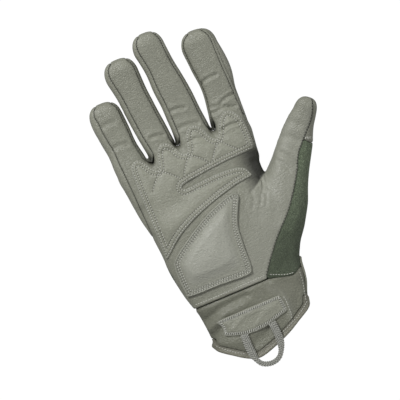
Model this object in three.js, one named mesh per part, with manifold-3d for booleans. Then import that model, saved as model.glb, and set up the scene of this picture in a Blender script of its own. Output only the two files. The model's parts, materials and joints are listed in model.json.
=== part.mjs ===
// Tactical glove for the right hand, lying on its back with the palm up.
// Millimetres. +Y runs to the fingertips, +X to the thumb side and +Z up out of the palm.
import * as THREE from "three";
import { mergeVertices } from "three/addons/utils/BufferGeometryUtils.js";
import Module from "manifold-3d";

const wasm = await Module();
wasm.setup();

// Driving dimensions
const WALL = 1.5; // leather and lining of a panel
const SEAM_GAP = 0.36; // clearance between two sewn panels
const PATCH_GAP = 0.35; // clearance between a panel and the patch sewn on it
const PATCH_WALL = 1.2; // leather of a patch
const HEEL_PAD_RISE = 2.6; // foam under the heel patch
const HEM_BULGE = 0.6; // the rolled hem stands this proud of the cuff
const HEM_BAND = 3; // width of the rolled hem
const LOOP_WIDTH = 5.2; // webbing of the pull loop
const LOOP_BEND_WIDTH = 3.2; // the webbing turns on edge round its bend
const LOOP_THICKNESS = 1.8;
const FLOOR_DEPTH = 15; // from the seam plane down to the flat back of the hand
const FINGER_CURL = 10.5; // how far the middle fingertip rises
const CURL_START = 42; // y of the knuckle line, where the fingers start to rise
const CURL_REACH = 90;
const THUMB_RISE = 13; // how far the thumb tip rises
const THUMB_RISE_START = 34; // distance along the thumb where it starts to rise
const THUMB_REACH = 58;
const ORIGIN = new THREE.Vector2(4.15, -0.3); // middle of the glove's outline
const FAR = 160; // beyond the glove in plan
const HIGH = 60; // beyond the glove in height

// Roundness of the sections: 2 is an ellipse, and more is boxier
const FINGER_SQUARENESS = 2.2;
const THUMB_SQUARENESS = 2.3;
const HAND_SQUARENESS = 2.7;
const FINGER_SIDES = 12;
const HAND_SIDES = 18;
const TIP_LENGTH = 14; // the end of a finger, where its section shrinks

// Finger sections across Y: left and right edge, and half the thickness
const FINGERS = {
  little: {
    seamIn: { left: 5.6, right: 1.7 },
    rows: [
      { y: 18, left: -69.5, right: -45.5, half: 11 },
      { y: 46, left: -74, right: -47.4, half: 11 },
      { y: 59, left: -74.1, right: -50, half: 10.2 },
      { y: 70, left: -75.6, right: -50.8, half: 10 },
      { y: 80, left: -76.6, right: -51.2, half: 9.8 },
      { y: 88, left: -76, right: -52.2, half: 9 },
      { y: 92, left: -74.2, right: -53.8, half: 7.9 },
      { y: 95, left: -70.8, right: -56, half: 5.9 },
      { y: 96.7, left: -66, right: -60, half: 2.6 },
    ],
  },
  ring: {
    seamIn: { left: 4, right: 2.1 },
    rows: [
      { y: 18, left: -48.5, right: -21.5, half: 12 },
      { y: 47, left: -47.5, right: -23.2, half: 11.5 },
      { y: 62, left: -49, right: -24.7, half: 10.6 },
      { y: 78, left: -49.9, right: -26.3, half: 10.6 },
      { y: 94, left: -51.2, right: -27.7, half: 10.4 },
      { y: 108, left: -53.5, right: -27.8, half: 9.8 },
      { y: 115, left: -52.3, right: -29.3, half: 8.7 },
      { y: 119, left: -48.8, right: -31.4, half: 6.6 },
      { y: 121.2, left: -44.8, right: -33.8, half: 4.4 },
      { y: 122.2, left: -41.5, right: -36.5, half: 2.2 },
    ],
  },
  middle: {
    seamIn: { left: 3.8, right: 2.2 },
    rows: [
      { y: 18, left: -25, right: 7, half: 12 },
      { y: 47, left: -23.5, right: 5.2, half: 11.8 },
      { y: 60, left: -23, right: 3.8, half: 10.9 },
      { y: 75, left: -22.9, right: 2.9, half: 10.8 },
      { y: 90, left: -23.9, right: 1.4, half: 10.6 },
      { y: 105, left: -24.2, right: -0.9, half: 10.3 },
      { y: 119, left: -26.4, right: -2, half: 9.8 },
      { y: 125.5, left: -25.4, right: -3.2, half: 8.4 },
      { y: 129.7, left: -21.9, right: -5.4, half: 6.2 },
      { y: 131.8, left: -17.8, right: -8.4, half: 3.8 },
      { y: 132.5, left: -15.3, right: -10.8, half: 2 },
    ],
  },
  index: {
    seamIn: { left: 1.4, right: 5.6 },
    rows: [
      { y: 18, left: 4, right: 30, half: 11.6 },
      { y: 47, left: 5, right: 33.2, half: 11.4 },
      { y: 60, left: 7.8, right: 33.8, half: 10.6 },
      { y: 70, left: 9.3, right: 34.2, half: 10.5 },
      { y: 80, left: 9.7, right: 36.3, half: 10.4 },
      { y: 94, left: 8.3, right: 36.4, half: 10.1 },
      { y: 105, left: 7.7, right: 35, half: 9.6 },
      { y: 112, left: 8.5, right: 32.9, half: 8.5 },
      { y: 117, left: 11.6, right: 29.5, half: 6.4 },
      { y: 119.2, left: 15, right: 26, half: 4.3 },
      { y: 120, left: 18.5, right: 23, half: 2.2 },
    ],
  },
};

// Hand and cuff sections across Y: edges, height over and depth under the seam plane
const HAND = [
  { y: -134, left: -54, right: 17, up: 13, down: 13 },
  { y: -100, left: -55.8, right: 21.9, up: 14.2, down: 13.1 },
  { y: -80, left: -57.5, right: 26.6, up: 14.6, down: 13.3 },
  { y: -68, left: -60.6, right: 28.4, up: 15, down: 14 },
  { y: -56, left: -63.5, right: 34.5, up: 15.8, down: 16.4 },
  { y: -40, left: -65.7, right: 43, up: 16.4, down: 16.6 },
  { y: -26, left: -66, right: 47, up: 16.4, down: 16.6 },
  { y: -12, left: -67.2, right: 44, up: 16, down: 16.6 },
  { y: 2, left: -69.8, right: 34.5, up: 15.2, down: 16.6 },
  { y: 14, left: -71.4, right: 30.2, up: 14.4, down: 16.4 },
  { y: 30, left: -72.5, right: 31.4, up: 13, down: 15.2 },
  { y: 41, left: -72.8, right: 32.2, up: 11.2, down: 12 },
];

// Thumb sections: distance along the thumb, inner and outer edge beside its axis, half the thickness
const THUMB_ROOT = new THREE.Vector2(27, -33);
const THUMB_AXIS = new THREE.Vector2(0.64, 0.768).normalize();
const THUMB = [
  { along: 0, inner: -14, outer: 19.5, half: 14.5 },
  { along: 17, inner: -17.5, outer: 16.4, half: 15 },
  { along: 28.4, inner: -19.4, outer: 13.9, half: 14.6 },
  { along: 40, inner: -18.4, outer: 12.4, half: 13.6 },
  { along: 55, inner: -17.6, outer: 9.1, half: 12.4 },
  { along: 71, inner: -16, outer: 5.5, half: 11 },
  { along: 79, inner: -14.2, outer: 4.9, half: 10 },
  { along: 84.6, inner: -12.7, outer: 3.7, half: 8.7 },
  { along: 88.4, inner: -11.1, outer: 1.7, half: 7 },
  { along: 91, inner: -9.2, outer: -1.2, half: 4.6 },
  { along: 92.3, inner: -7, outer: -3.6, half: 2 },
];

// Eases from 0 at a to 1 at b, in either direction
function smoothstep(a, b, value) {
  const sign = Math.sign(b - a);
  return THREE.MathUtils.smoothstep(sign * value, sign * a, sign * b);
}

// One closed ring of a rounded, slightly boxy section. place(across, up) gives a point.
function sectionRing(left, right, up, down, sides, squareness, place) {
  const middle = (left + right) / 2;
  const half = (right - left) / 2;
  const ring = [];
  for (let i = 0; i < sides; i += 1) {
    const angle = (i / sides) * Math.PI * 2;
    const c = Math.cos(angle);
    const s = Math.sin(angle);
    const across = Math.sign(c) * Math.abs(c) ** (2 / squareness) * half;
    const rise = Math.sign(s) * Math.abs(s) ** (2 / squareness) * (s > 0 ? up : down);
    ring.push(place(middle + across, Math.max(rise, -FLOOR_DEPTH)));
  }
  return ring;
}

// Closed skin over rings of the same number of points, with flat ends
function skin(rings) {
  const sides = rings[0].length;
  const index = [];
  for (let r = 0; r + 1 < rings.length; r += 1) {
    for (let i = 0; i < sides; i += 1) {
      const a = r * sides + i;
      const b = r * sides + ((i + 1) % sides);
      index.push(a, b, b + sides, a, b + sides, a + sides);
    }
  }
  const last = (rings.length - 1) * sides;
  for (let i = 1; i + 1 < sides; i += 1) {
    index.push(0, i + 1, i, last, last + i, last + i + 1);
  }
  const positions = rings.flat().flatMap((point) => point.toArray());
  const geometry = new THREE.BufferGeometry();
  geometry.setAttribute("position", new THREE.Float32BufferAttribute(positions, 3));
  geometry.setIndex(index);
  return geometry;
}

function solid(geometry) {
  const bare = mergeVertices(geometry.deleteAttribute("normal").deleteAttribute("uv"), 1e-4);
  const mesh = new wasm.Mesh({
    numProp: 3,
    vertProperties: new Float32Array(bare.attributes.position.array),
    triVerts: new Uint32Array(bare.index.array),
  });
  return new wasm.Manifold(mesh);
}

const joined = (solids) => solids.reduce((all, one) => all.add(one));

// Loft of a finger, of the hand or of the thumb, swollen by grow
function fingerSolid(rows, grow) {
  const tip = rows.at(-1).y;
  const rings = rows.map(({ y, left, right, half }) => {
    const along = y + grow * smoothstep(tip - TIP_LENGTH, tip, y);
    const thick = half + grow;
    const place = (across, up) => new THREE.Vector3(across, along, up);
    const edges = [left - grow, right + grow, thick, thick];
    return sectionRing(...edges, FINGER_SIDES, FINGER_SQUARENESS, place).reverse();
  });
  return solid(skin(rings));
}

function handSolid(grow) {
  const floor = -FLOOR_DEPTH - Math.min(grow, 0);
  const rings = HAND.map(({ y, left, right, up, down }) => {
    const place = (across, height) => new THREE.Vector3(across, y, Math.max(height, floor));
    const edges = [left - grow, right + grow, up + grow, down + grow];
    return sectionRing(...edges, HAND_SIDES, HAND_SQUARENESS, place).reverse();
  });
  return solid(skin(rings));
}

function thumbSolid(grow) {
  const tip = THUMB.at(-1).along;
  const outwards = new THREE.Vector2(THUMB_AXIS.y, -THUMB_AXIS.x);
  const rings = THUMB.map(({ along, inner, outer, half }) => {
    const reach = along + grow * smoothstep(tip - TIP_LENGTH, tip, along);
    const foot = THUMB_ROOT.clone().addScaledVector(THUMB_AXIS, reach);
    const thick = half + grow;
    const edges = [inner - grow, outer + grow, thick, thick];
    const place = (across, up) => {
      const beside = foot.clone().addScaledVector(outwards, across);
      return new THREE.Vector3(beside.x, beside.y, up);
    };
    return sectionRing(...edges, FINGER_SIDES, THUMB_SQUARENESS, place).reverse();
  });
  return solid(skin(rings));
}

const bodies = new Map();
function body(grow) {
  if (!bodies.has(grow)) {
    const fingers = Object.values(FINGERS).map(({ rows }) => fingerSolid(rows, grow));
    bodies.set(grow, joined([handSolid(grow), thumbSolid(grow), ...fingers]));
  }
  return bodies.get(grow);
}

const layer = (inside, outside) => body(outside).subtract(body(inside));

const points = (pairs) => pairs.map(([x, y]) => new THREE.Vector2(x, y));

function smooth(pairs, divisions) {
  return new THREE.SplineCurve(points(pairs)).getSpacedPoints(divisions);
}

// Smooth closed outline that starts and ends at the first pair
function smoothLoop(pairs, divisions) {
  return smooth([...pairs, pairs[0]], divisions).slice(0, -1);
}

// Moves a closed counterclockwise outline outwards by grow
function offset(outline, grow) {
  const count = outline.length;
  return outline.map((point, i) => {
    const before = outline[(i + count - 1) % count];
    const after = outline[(i + 1) % count];
    const into = point.clone().sub(before).normalize();
    const out = after.clone().sub(point).normalize();
    const normal = new THREE.Vector2(into.y + out.y, -into.x - out.x);
    const spread = Math.max(1 + into.dot(out), 0.3);
    return point.clone().addScaledVector(normal, grow / spread);
  });
}

function prism(outline, grow = 0, low = -HIGH, high = HIGH) {
  const ccw = THREE.ShapeUtils.isClockWise(outline) ? outline.slice().reverse() : outline;
  const shape = new THREE.Shape(grow === 0 ? ccw : offset(ccw, grow));
  const geometry = new THREE.ExtrudeGeometry(shape, { depth: high - low, bevelEnabled: false });
  return solid(geometry.translate(0, 0, low));
}

// Edge of a finger at y, moved in by the seam's distance from the outline
function fingerEdge(name, side, y) {
  const { rows, seamIn } = FINGERS[name];
  const next = Math.max(1, rows.findIndex((row) => row.y >= y));
  const [a, b] = [rows[next - 1], rows[next]];
  const edge = THREE.MathUtils.mapLinear(y, a.y, b.y, a[side], b[side]);
  return edge + (side === "left" ? seamIn.left : -seamIn.right);
}

const SEAM_STEP = 12; // between two points of a finger's seam
const SEAM_END = 7; // the seam leaves the finger's edge this far before the tip
const TIP_BEND = { inwards: 1.4, before: 2.5 }; // where it turns in over the tip
const TIP_PAST = { inwards: 3, after: 4 };

// A seam along a finger, from the crotch to past its tip
function fingerSeam(name, side, start) {
  const tip = FINGERS[name].rows.at(-1).y;
  const last = tip - SEAM_END;
  const seam = [];
  for (let y = start; y < last - SEAM_STEP / 4; y += SEAM_STEP) {
    seam.push(new THREE.Vector2(fingerEdge(name, side, y), y));
  }
  const end = fingerEdge(name, side, last);
  const sign = side === "left" ? 1 : -1;
  seam.push(new THREE.Vector2(end, last));
  seam.push(new THREE.Vector2(end + sign * TIP_BEND.inwards, tip - TIP_BEND.before));
  return { seam, past: new THREE.Vector2(end + sign * TIP_PAST.inwards, tip + TIP_PAST.after) };
}

// The strip in the gap between two fingers, down to the crotch
function fourchette(leftFinger, rightFinger, crotch, start) {
  const near = fingerSeam(leftFinger, "right", start);
  const far = fingerSeam(rightFinger, "left", start);
  const [shorter, taller] = near.past.y < far.past.y ? [near.past, far.past] : [far.past, near.past];
  const beyond = new THREE.Vector2(shorter.x, taller.y);
  return [new THREE.Vector2(...crotch), ...far.seam, far.past, beyond, near.past, ...near.seam.reverse()];
}

// Plan outlines of the strips
const ulnarSeam = points([[-66.8, -8], [-67.2, 8], [-67.5, 22], [-67.9, 38]]);
const littleOuter = fingerSeam("little", "left", 50);
const INDEX_STRIP_WIDTH = 2.3;
const indexOuter = [[32.6, 48], [31.4, 57], [30.8, 68], [30.6, 80], [30.3, 94], [29.7, 105], [28.4, 112]];
const STRIPS = {
  side_strip_little: [
    ...points([[-FAR, 100], [-FAR, -16], [-68.5, -16]]),
    ...ulnarSeam,
    ...littleOuter.seam,
    littleOuter.past,
    new THREE.Vector2(-FAR, littleOuter.past.y),
  ],
  fourchette_little_ring: fourchette("little", "ring", [-45.6, 41.4], 46),
  fourchette_ring_middle: fourchette("ring", "middle", [-22.6, 45.5], 51),
  fourchette_middle_index: fourchette("middle", "index", [6.2, 45], 51),
};
const indexStrip = [
  ...points(indexOuter),
  ...points(indexOuter).reverse().map((p) => new THREE.Vector2(p.x + INDEX_STRIP_WIDTH, p.y)),
];
const indexSide = [...points(indexOuter), ...points([[27, 118], [28, 130], [60, 130], [60, 48]])];

// The dark seam between the palm leather and the green cloth, from the thumb tip to the wrist
const thumbSeam = smooth([
  [83.5, 42], [82.2, 34.4], [76.7, 24.2], [67.8, 15], [57.8, 3.9], [50.7, -9.3],
  [35.7, -30.4], [20, -46], [8, -60], [0.3, -70.5],
], 18);
const cuffLine = smooth([[0.3, -72.5], [14.7, -76.6], [20, -77.3], [25, -74.6], [31, -72.4]], 8);
const palmArea = [
  ...points([[-FAR, -72.5], [-0.6, -72.5]]),
  ...thumbSeam.slice().reverse(),
  ...points([[88, 50], [110, FAR], [-FAR, FAR]]),
];
const gussetFront = [...thumbSeam, ...cuffLine, ...points([[FAR, -72.4], [FAR, 42]])];
const gussetBack = points([
  [FAR, -72.2], [27, -72.2], [22, -45], [23, -16], [29.6, 1.8], [36, 11], [70, 52], [FAR, 52],
]);
const capArea = points([[53.5, 24.4], [69.6, 8.4], [FAR, -20], [FAR, 90], [70, 52]]);
const knuckleLine = CURL_START + 4;
const handBackArea = points([
  [-FAR, -72.2], [27, -72.2], [22, -45], [23, -16], [29.6, 1.8], [34, 12], [45, knuckleLine],
  [-FAR, knuckleLine],
]);

// Back of a finger in plan, from the knuckle line to past its tip
function fingerBackArea(base, end, reach) {
  return points([[base[0], knuckleLine], [base[1], knuckleLine], [end[1], reach], [end[0], reach]]);
}
const FINGER_BACKS = {
  finger_back_little: fingerBackArea([-95, -47.5], [-95, -55], 101),
  finger_back_ring: fingerBackArea([-46.5, -23], [-56, -28], 130),
  finger_back_middle: fingerBackArea([-22, 5.5], [-27, 0], 140),
  finger_back_index: fingerBackArea([7, 50], [5, 50], 130),
};

// The hem's curve on both faces of the cuff, left to right
const hemLine = smooth([
  [-57.5, -100.4], [-55.4, -107.4], [-46.7, -115], [-36.5, -121.8], [-27, -124.6],
  [-13.3, -121], [0, -115.7], [10, -110.3], [18.7, -105.4], [23.4, -99.4],
], 16);
const overHem = [...hemLine, ...points([[FAR, -90], [FAR, FAR], [-FAR, FAR], [-FAR, -90]])];
const cuffArea = [
  ...points([[-FAR, -72.8], [0.3, -72.8]]),
  ...cuffLine,
  ...points([[FAR, -72.6], [FAR, -FAR], [-FAR, -FAR]]),
];

// The grip patch has a tab under each finger: its shoulders, its top and the notch after it
const TABS = [
  { left: -61.6, right: -51, top: 46, notch: [-43.4, 34.5] },
  { left: -39, right: -26, top: 50, notch: [-17.8, 36.4] },
  { left: -14.6, right: -4, top: 54, notch: [5.6, 38] },
  { left: 13.2, right: 25.4, top: 54, notch: [28, 24] },
];
const TAB_SHOULDER = 6; // height of a tab's rounded end
const TAB_CORNER = { inwards: 0.6, below: 1.4 };
const tabOutline = TABS.flatMap(({ left, right, top, notch }) => [
  [left - 1, top - TAB_SHOULDER],
  [left + TAB_CORNER.inwards, top - TAB_CORNER.below],
  [(left + right) / 2, top],
  [right - TAB_CORNER.inwards, top - TAB_CORNER.below],
  [right + 1.6, top - TAB_SHOULDER],
  notch,
]);
// The slot's upper edge and rounded end, the tongue under it, and the patch's lower edge
const slotTop = [[27.6, 21.4], [0.6, 20.3], [-20, 18.2], [-30, 16.9], [-32.8, 14.6], [-30, 12.6]];
const tongue = [[-20, 13.4], [-4, 14.2], [9.4, 13.4], [17, 10], [20, 4], [17, 2.6], [5, 1.3]];
const patchFoot = [[-12.5, -3.4], [-31.3, -9.4], [-48.1, -17.8], [-63, -30.6], [-63, -8]];
const gripOutline = smoothLoop([[-62.9, 20], ...tabOutline, ...slotTop, ...tongue, ...patchFoot], 76);
const heelOutline = smoothLoop([
  [-1.3, -3.8], [4.4, -6.8], [0, -16.3], [-4.8, -28], [-6.6, -45], [-7.6, -59.5], [-12, -64.2],
  [-33.3, -63.2], [-57, -62.4], [-60, -58], [-60.3, -39.4], [-57, -32.2], [-42.5, -21.9], [-22, -10.6],
], 32);
const padOutline = smoothLoop([
  [-10, -12.5], [-11.5, -20], [-13.3, -40], [-13.8, -54], [-18, -57.2], [-52, -57], [-56.6, -53], [-57, -43],
  [-51, -33], [-36, -21], [-20, -13.8],
], 20);
const cuffPatchOutline = smoothLoop([
  [-46.8, -87], [3, -87], [4.6, -92], [4.4, -99.5], [-8, -103.7], [-20, -105.3], [-33.3, -103.7],
  [-45.6, -99.6], [-45.2, -94],
], 24);
const closureArea = points([[-24, -94.5], [34, -94.5], [34, -66.5], [-24, -66.5], [-28, -70], [-28, -91]]);
const palmSideOfClosure = points([[-FAR, -FAR], [0, -FAR], [0, FAR], [-FAR, FAR]]);
const CLOSURE_TOP = 4.5; // the tab wraps round the edge of the wrist up to here

const cut = SEAM_GAP / 2;
const insideHem = (inset) => prism(overHem, -inset);
const shell = layer(-WALL, 0).intersect(insideHem(0));
const strips = joined(Object.values(STRIPS).map((outline) => prism(outline, cut)));
const panel = (outline, low, high) => shell.intersect(prism(outline, -cut, low, high)).subtract(strips);

const nodes = {};
for (const [name, outline] of Object.entries(STRIPS)) {
  nodes[name] = shell.intersect(prism(outline, -cut));
}
nodes.side_strip_index = shell.intersect(prism(indexStrip, -cut, cut));
nodes.palm_front = panel(palmArea, cut).subtract(prism(indexSide, cut));
for (const [name, outline] of Object.entries(FINGER_BACKS)) {
  nodes[name] = panel(outline, -HIGH, -cut);
}
const indexWrap = panel(indexSide).subtract(prism(indexStrip, cut, 0));
nodes.finger_back_index = nodes.finger_back_index.add(indexWrap);
nodes.hand_back = panel(handBackArea, -HIGH, -cut);

const thumbSide = panel(gussetFront, -cut)
  .add(panel(gussetBack, -HIGH, 0))
  .subtract(prism(palmArea, cut, -cut));
nodes.thumb_gusset = thumbSide.subtract(prism(capArea, cut));
nodes.thumb_tip_cap = thumbSide.intersect(prism(capArea, -cut));

nodes.wrist_cuff = panel(cuffArea).intersect(insideHem(HEM_BAND + SEAM_GAP));
nodes.cuff_hem = layer(-WALL - HEM_BULGE, HEM_BULGE).intersect(insideHem(0)).subtract(insideHem(HEM_BAND));

// Patches lie on the palm side, which is above the seam plane
const patchLayer = (rise) => layer(PATCH_GAP, PATCH_GAP + PATCH_WALL + rise);
const overlay = (outline) => patchLayer(0).intersect(prism(outline, 0, 0));
nodes.grip_patch = overlay(gripOutline);
nodes.cuff_patch = overlay(cuffPatchOutline);
const pad = (inset, rise) => patchLayer(rise).intersect(prism(padOutline, -inset, 0));
nodes.heel_patch = joined([overlay(heelOutline), pad(0, HEEL_PAD_RISE * 0.6), pad(2, HEEL_PAD_RISE)]);
nodes.closure_tab = patchLayer(0)
  .intersect(prism(closureArea, 0, -HIGH, CLOSURE_TOP))
  .subtract(prism(palmSideOfClosure, 0, 0));

// Height of the cuff's upper surface over the seam plane
function cuffHeight(x, y) {
  const next = Math.max(1, HAND.findIndex((row) => row.y >= y));
  const [a, b] = [HAND[next - 1], HAND[next]];
  const at = (key) => THREE.MathUtils.mapLinear(y, a.y, b.y, a[key], b[key]);
  const across = Math.abs((x - (at("left") + at("right")) / 2) / ((at("right") - at("left")) / 2));
  return at("up") * (1 - across ** HAND_SQUARENESS) ** (1 / HAND_SQUARENESS);
}

function pullLoop() {
  const path = smooth([
    [-32.3, -105.6], [-32.7, -112], [-32.3, -118.3], [-31.2, -124.3], [-28, -129.3], [-21.5, -131.5],
    [-15.2, -129.9], [-11.2, -125], [-9.4, -119], [-9, -112], [-9.6, -105.2],
  ], 20);
  const seat = PATCH_GAP + HEM_BULGE;
  const rings = path.map((point, i) => {
    const ahead = path[Math.min(i + 1, path.length - 1)];
    const behind = path[Math.max(i - 1, 0)];
    const width = LOOP_WIDTH + (LOOP_BEND_WIDTH - LOOP_WIDTH) * smoothstep(-118, -127, point.y);
    const side = new THREE.Vector2(ahead.y - behind.y, behind.x - ahead.x).setLength(width / 2);
    const low = cuffHeight(point.x, Math.max(point.y, -120)) + seat;
    const corner = (sign, up) => {
      const beside = point.clone().addScaledVector(side, sign);
      return new THREE.Vector3(beside.x, beside.y, low + up);
    };
    return [corner(-1, LOOP_THICKNESS), corner(1, LOOP_THICKNESS), corner(1, 0), corner(-1, 0)];
  });
  return solid(skin(rings));
}
nodes.pull_loop = pullLoop();

// The fingers and the thumb curl up off the surface that the glove lies on
function rise(x, y) {
  const knuckle = Math.max(0, y - CURL_START) / CURL_REACH;
  const beside = x > 33 + 0.3 * (y - 5) && y < 50;
  const along = (x - THUMB_ROOT.x) * THUMB_AXIS.x + (y - THUMB_ROOT.y) * THUMB_AXIS.y;
  const thumb = Math.max(0, along - THUMB_RISE_START) / THUMB_REACH;
  return beside ? THUMB_RISE * thumb ** 2 : FINGER_CURL * knuckle ** 2;
}

function toGeometry(manifold) {
  const mesh = manifold.getMesh();
  const position = Float32Array.from(mesh.vertProperties);
  for (let i = 0; i < position.length; i += 3) {
    position[i + 2] += rise(position[i], position[i + 1]) + FLOOR_DEPTH;
    position[i] -= ORIGIN.x;
    position[i + 1] -= ORIGIN.y;
  }
  const geometry = new THREE.BufferGeometry();
  geometry.setAttribute("position", new THREE.BufferAttribute(position, 3));
  geometry.setIndex(Array.from(mesh.triVerts));
  geometry.computeVertexNormals();
  return geometry;
}

const LEATHER = { color: 0x8c8e82, roughness: 0.62, metalness: 0 };
const LEATHER_EDGE = { color: 0xa9a99f, roughness: 0.6, metalness: 0 };
const CLOTH = { color: 0x565f4e, roughness: 0.95, metalness: 0 };
const WEBBING = { color: 0x929389, roughness: 0.85, metalness: 0 };
const FINISHES = { hand_back: CLOTH, thumb_gusset: CLOTH, cuff_hem: LEATHER_EDGE, pull_loop: WEBBING };

const glove = new THREE.Group();
for (const [name, manifold] of Object.entries(nodes)) {
  const finish = new THREE.MeshStandardMaterial(FINISHES[name] ?? LEATHER);
  const mesh = new THREE.Mesh(toGeometry(manifold), finish);
  mesh.name = name;
  glove.add(mesh);
}

export default glove;
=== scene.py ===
"""Tactical glove, palm up: leather panels, cloth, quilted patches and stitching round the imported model."""

import functools
import json
import math

import bpy
import numpy as np
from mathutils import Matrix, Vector
from mathutils.bvhtree import BVHTree
from mathutils.kdtree import KDTree

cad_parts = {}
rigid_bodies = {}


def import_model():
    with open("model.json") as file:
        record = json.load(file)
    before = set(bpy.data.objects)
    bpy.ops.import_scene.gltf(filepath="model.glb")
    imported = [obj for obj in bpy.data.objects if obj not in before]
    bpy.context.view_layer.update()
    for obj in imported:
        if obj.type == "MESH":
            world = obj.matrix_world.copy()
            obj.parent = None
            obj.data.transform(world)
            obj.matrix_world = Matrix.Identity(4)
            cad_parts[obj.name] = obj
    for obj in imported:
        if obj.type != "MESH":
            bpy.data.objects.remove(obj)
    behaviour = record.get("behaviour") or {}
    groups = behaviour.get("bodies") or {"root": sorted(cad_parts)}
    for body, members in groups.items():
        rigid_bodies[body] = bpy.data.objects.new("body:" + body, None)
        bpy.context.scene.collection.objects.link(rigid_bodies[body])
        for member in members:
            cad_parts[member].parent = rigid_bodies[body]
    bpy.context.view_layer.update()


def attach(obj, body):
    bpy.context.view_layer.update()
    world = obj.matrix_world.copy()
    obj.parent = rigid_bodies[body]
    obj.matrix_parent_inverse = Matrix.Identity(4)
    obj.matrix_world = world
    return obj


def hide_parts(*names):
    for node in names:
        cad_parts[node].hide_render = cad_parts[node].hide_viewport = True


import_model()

bl_info = {
    "name": "Tactical glove",
    "version": (1, 0, 0),
    "blender": (4, 5, 0),
    "location": "3D View > Sidebar > Glove",
    "description": "Builds a leather and cloth work glove round its packed frame",
    "category": "Object",
}

# All shapes are worked out in millimetres on the flat glove, and lifted and scaled at the end.
MM = 0.001
ORIGIN = (4.15, -0.3)  # middle of the glove's outline
FLOOR_DEPTH = 15.0  # from the seam plane down to the flat back of the hand
LINING_STEP = 1.8
LINING_THICKNESS = 0.3
FLOOR_SOFTNESS = 0.5  # how softly the glove flattens where it rests
FINGER_CURL = 10.5
CURL_START = 42.0
CURL_REACH = 90.0
THUMB_RISE = 13.0
THUMB_RISE_START = 34.0
THUMB_REACH = 58.0
FAR = 160.0

# Finger sections: y, left edge, right edge, half the thickness. The cap rounds off the tip.
FINGERS = {
    "little": {
        "tip": 96.7, "cap": 13.0, "seam_in": (5.6, 1.7),
        "rows": (
            (18, -69.5, -45.5, 11.0), (46, -74.0, -48.4, 11.0), (59, -74.1, -50.5, 10.2),
            (70, -75.6, -50.9, 10.0), (80, -76.6, -51.3, 9.8), (86, -76.6, -51.6, 9.5),
        ),
    },
    "ring": {
        "tip": 122.2, "cap": 14.0, "seam_in": (4.0, 2.1),
        "rows": (
            (18, -48.5, -21.5, 12.0), (47, -46.4, -23.5, 11.5), (62, -48.5, -24.9, 10.6),
            (78, -49.9, -26.4, 10.6), (94, -51.2, -27.7, 10.4), (108, -53.5, -27.8, 9.8),
        ),
    },
    "middle": {
        "tip": 132.5, "cap": 14.5, "seam_in": (3.8, 2.2),
        "rows": (
            (18, -25.0, 7.0, 12.0), (47, -23.1, 5.0, 11.8), (60, -22.7, 3.8, 10.9),
            (75, -22.9, 2.9, 10.8), (90, -23.9, 1.4, 10.6), (105, -24.2, -0.9, 10.3),
            (119, -26.4, -2.0, 9.8),
        ),
    },
    "index": {
        "tip": 120.0, "cap": 14.0, "seam_in": (1.4, 5.6),
        "rows": (
            (18, 4.0, 30.0, 11.6), (47, 5.4, 33.2, 11.4), (60, 7.8, 33.8, 10.6), (70, 9.3, 34.2, 10.5),
            (80, 9.7, 36.3, 10.4), (94, 8.3, 36.4, 10.1), (106, 7.7, 34.9, 9.6),
        ),
    },
}
FINGER_SQUARENESS = 2.5
FINGER_FLATNESS = 3.2

# Hand and cuff sections: y, left edge, right edge, height over and depth under the seam plane
HAND = (
    (-134, -54.0, 17.0, 13.0, 13.0), (-100, -55.8, 21.9, 14.2, 13.6), (-80, -57.5, 26.6, 14.6, 14.2),
    (-68, -60.6, 28.4, 15.0, 15.4), (-56, -63.5, 34.4, 15.8, 16.4), (-40, -65.7, 42.4, 16.4, 16.6),
    (-26, -66.0, 44.5, 16.4, 16.6), (-12, -67.2, 37.5, 16.0, 16.6), (2, -69.8, 29.4, 15.2, 16.6),
    (14, -71.4, 29.6, 14.4, 16.4), (30, -72.5, 31.2, 13.0, 15.2), (41, -73.2, 32.4, 11.8, 12.4),
)
HAND_SQUARENESS = 2.7
HAND_CAP_START = 33.0
HAND_CAP = 12.0

# Thumb sections: distance along its axis, inner edge, outer edge, half the thickness
THUMB_ROOT = np.array((27.0, -33.0))
THUMB_AXIS = np.array((0.64, 0.768)) / math.hypot(0.64, 0.768)
THUMB = (
    (0, -14.0, 16.5, 14.5), (17, -17.5, 15.4, 15.0), (28.4, -19.2, 13.3, 14.6), (40, -18.2, 11.2, 13.6),
    (55, -17.6, 8.7, 12.4), (71, -16.0, 5.0, 11.0), (80, -13.8, 3.9, 9.9),
)
THUMB_TIP = 91.2
THUMB_CAP = 13.0


def smoothstep(low, high, value):
    t = np.clip((value - low) / (high - low), 0.0, 1.0)
    return t * t * (3.0 - 2.0 * t)


def bell(distance, width):
    return np.exp(-((distance / width) ** 2))


def hermite(at, rows, column):
    """Smooth value of a table's column at the first column's values."""
    table = np.array(rows, dtype=float)
    keys, values = table[:, 0], table[:, column]
    slopes = np.gradient(values, keys)
    i = np.clip(np.searchsorted(keys, at) - 1, 0, len(keys) - 2)
    span = keys[i + 1] - keys[i]
    t = np.clip((at - keys[i]) / span, 0.0, 1.0)
    start = (2 * t**3 - 3 * t**2 + 1) * values[i] + (t**3 - 2 * t**2 + t) * span * slopes[i]
    return start + (3 * t**2 - 2 * t**3) * values[i + 1] + (t**3 - t**2) * span * slopes[i + 1]


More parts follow.
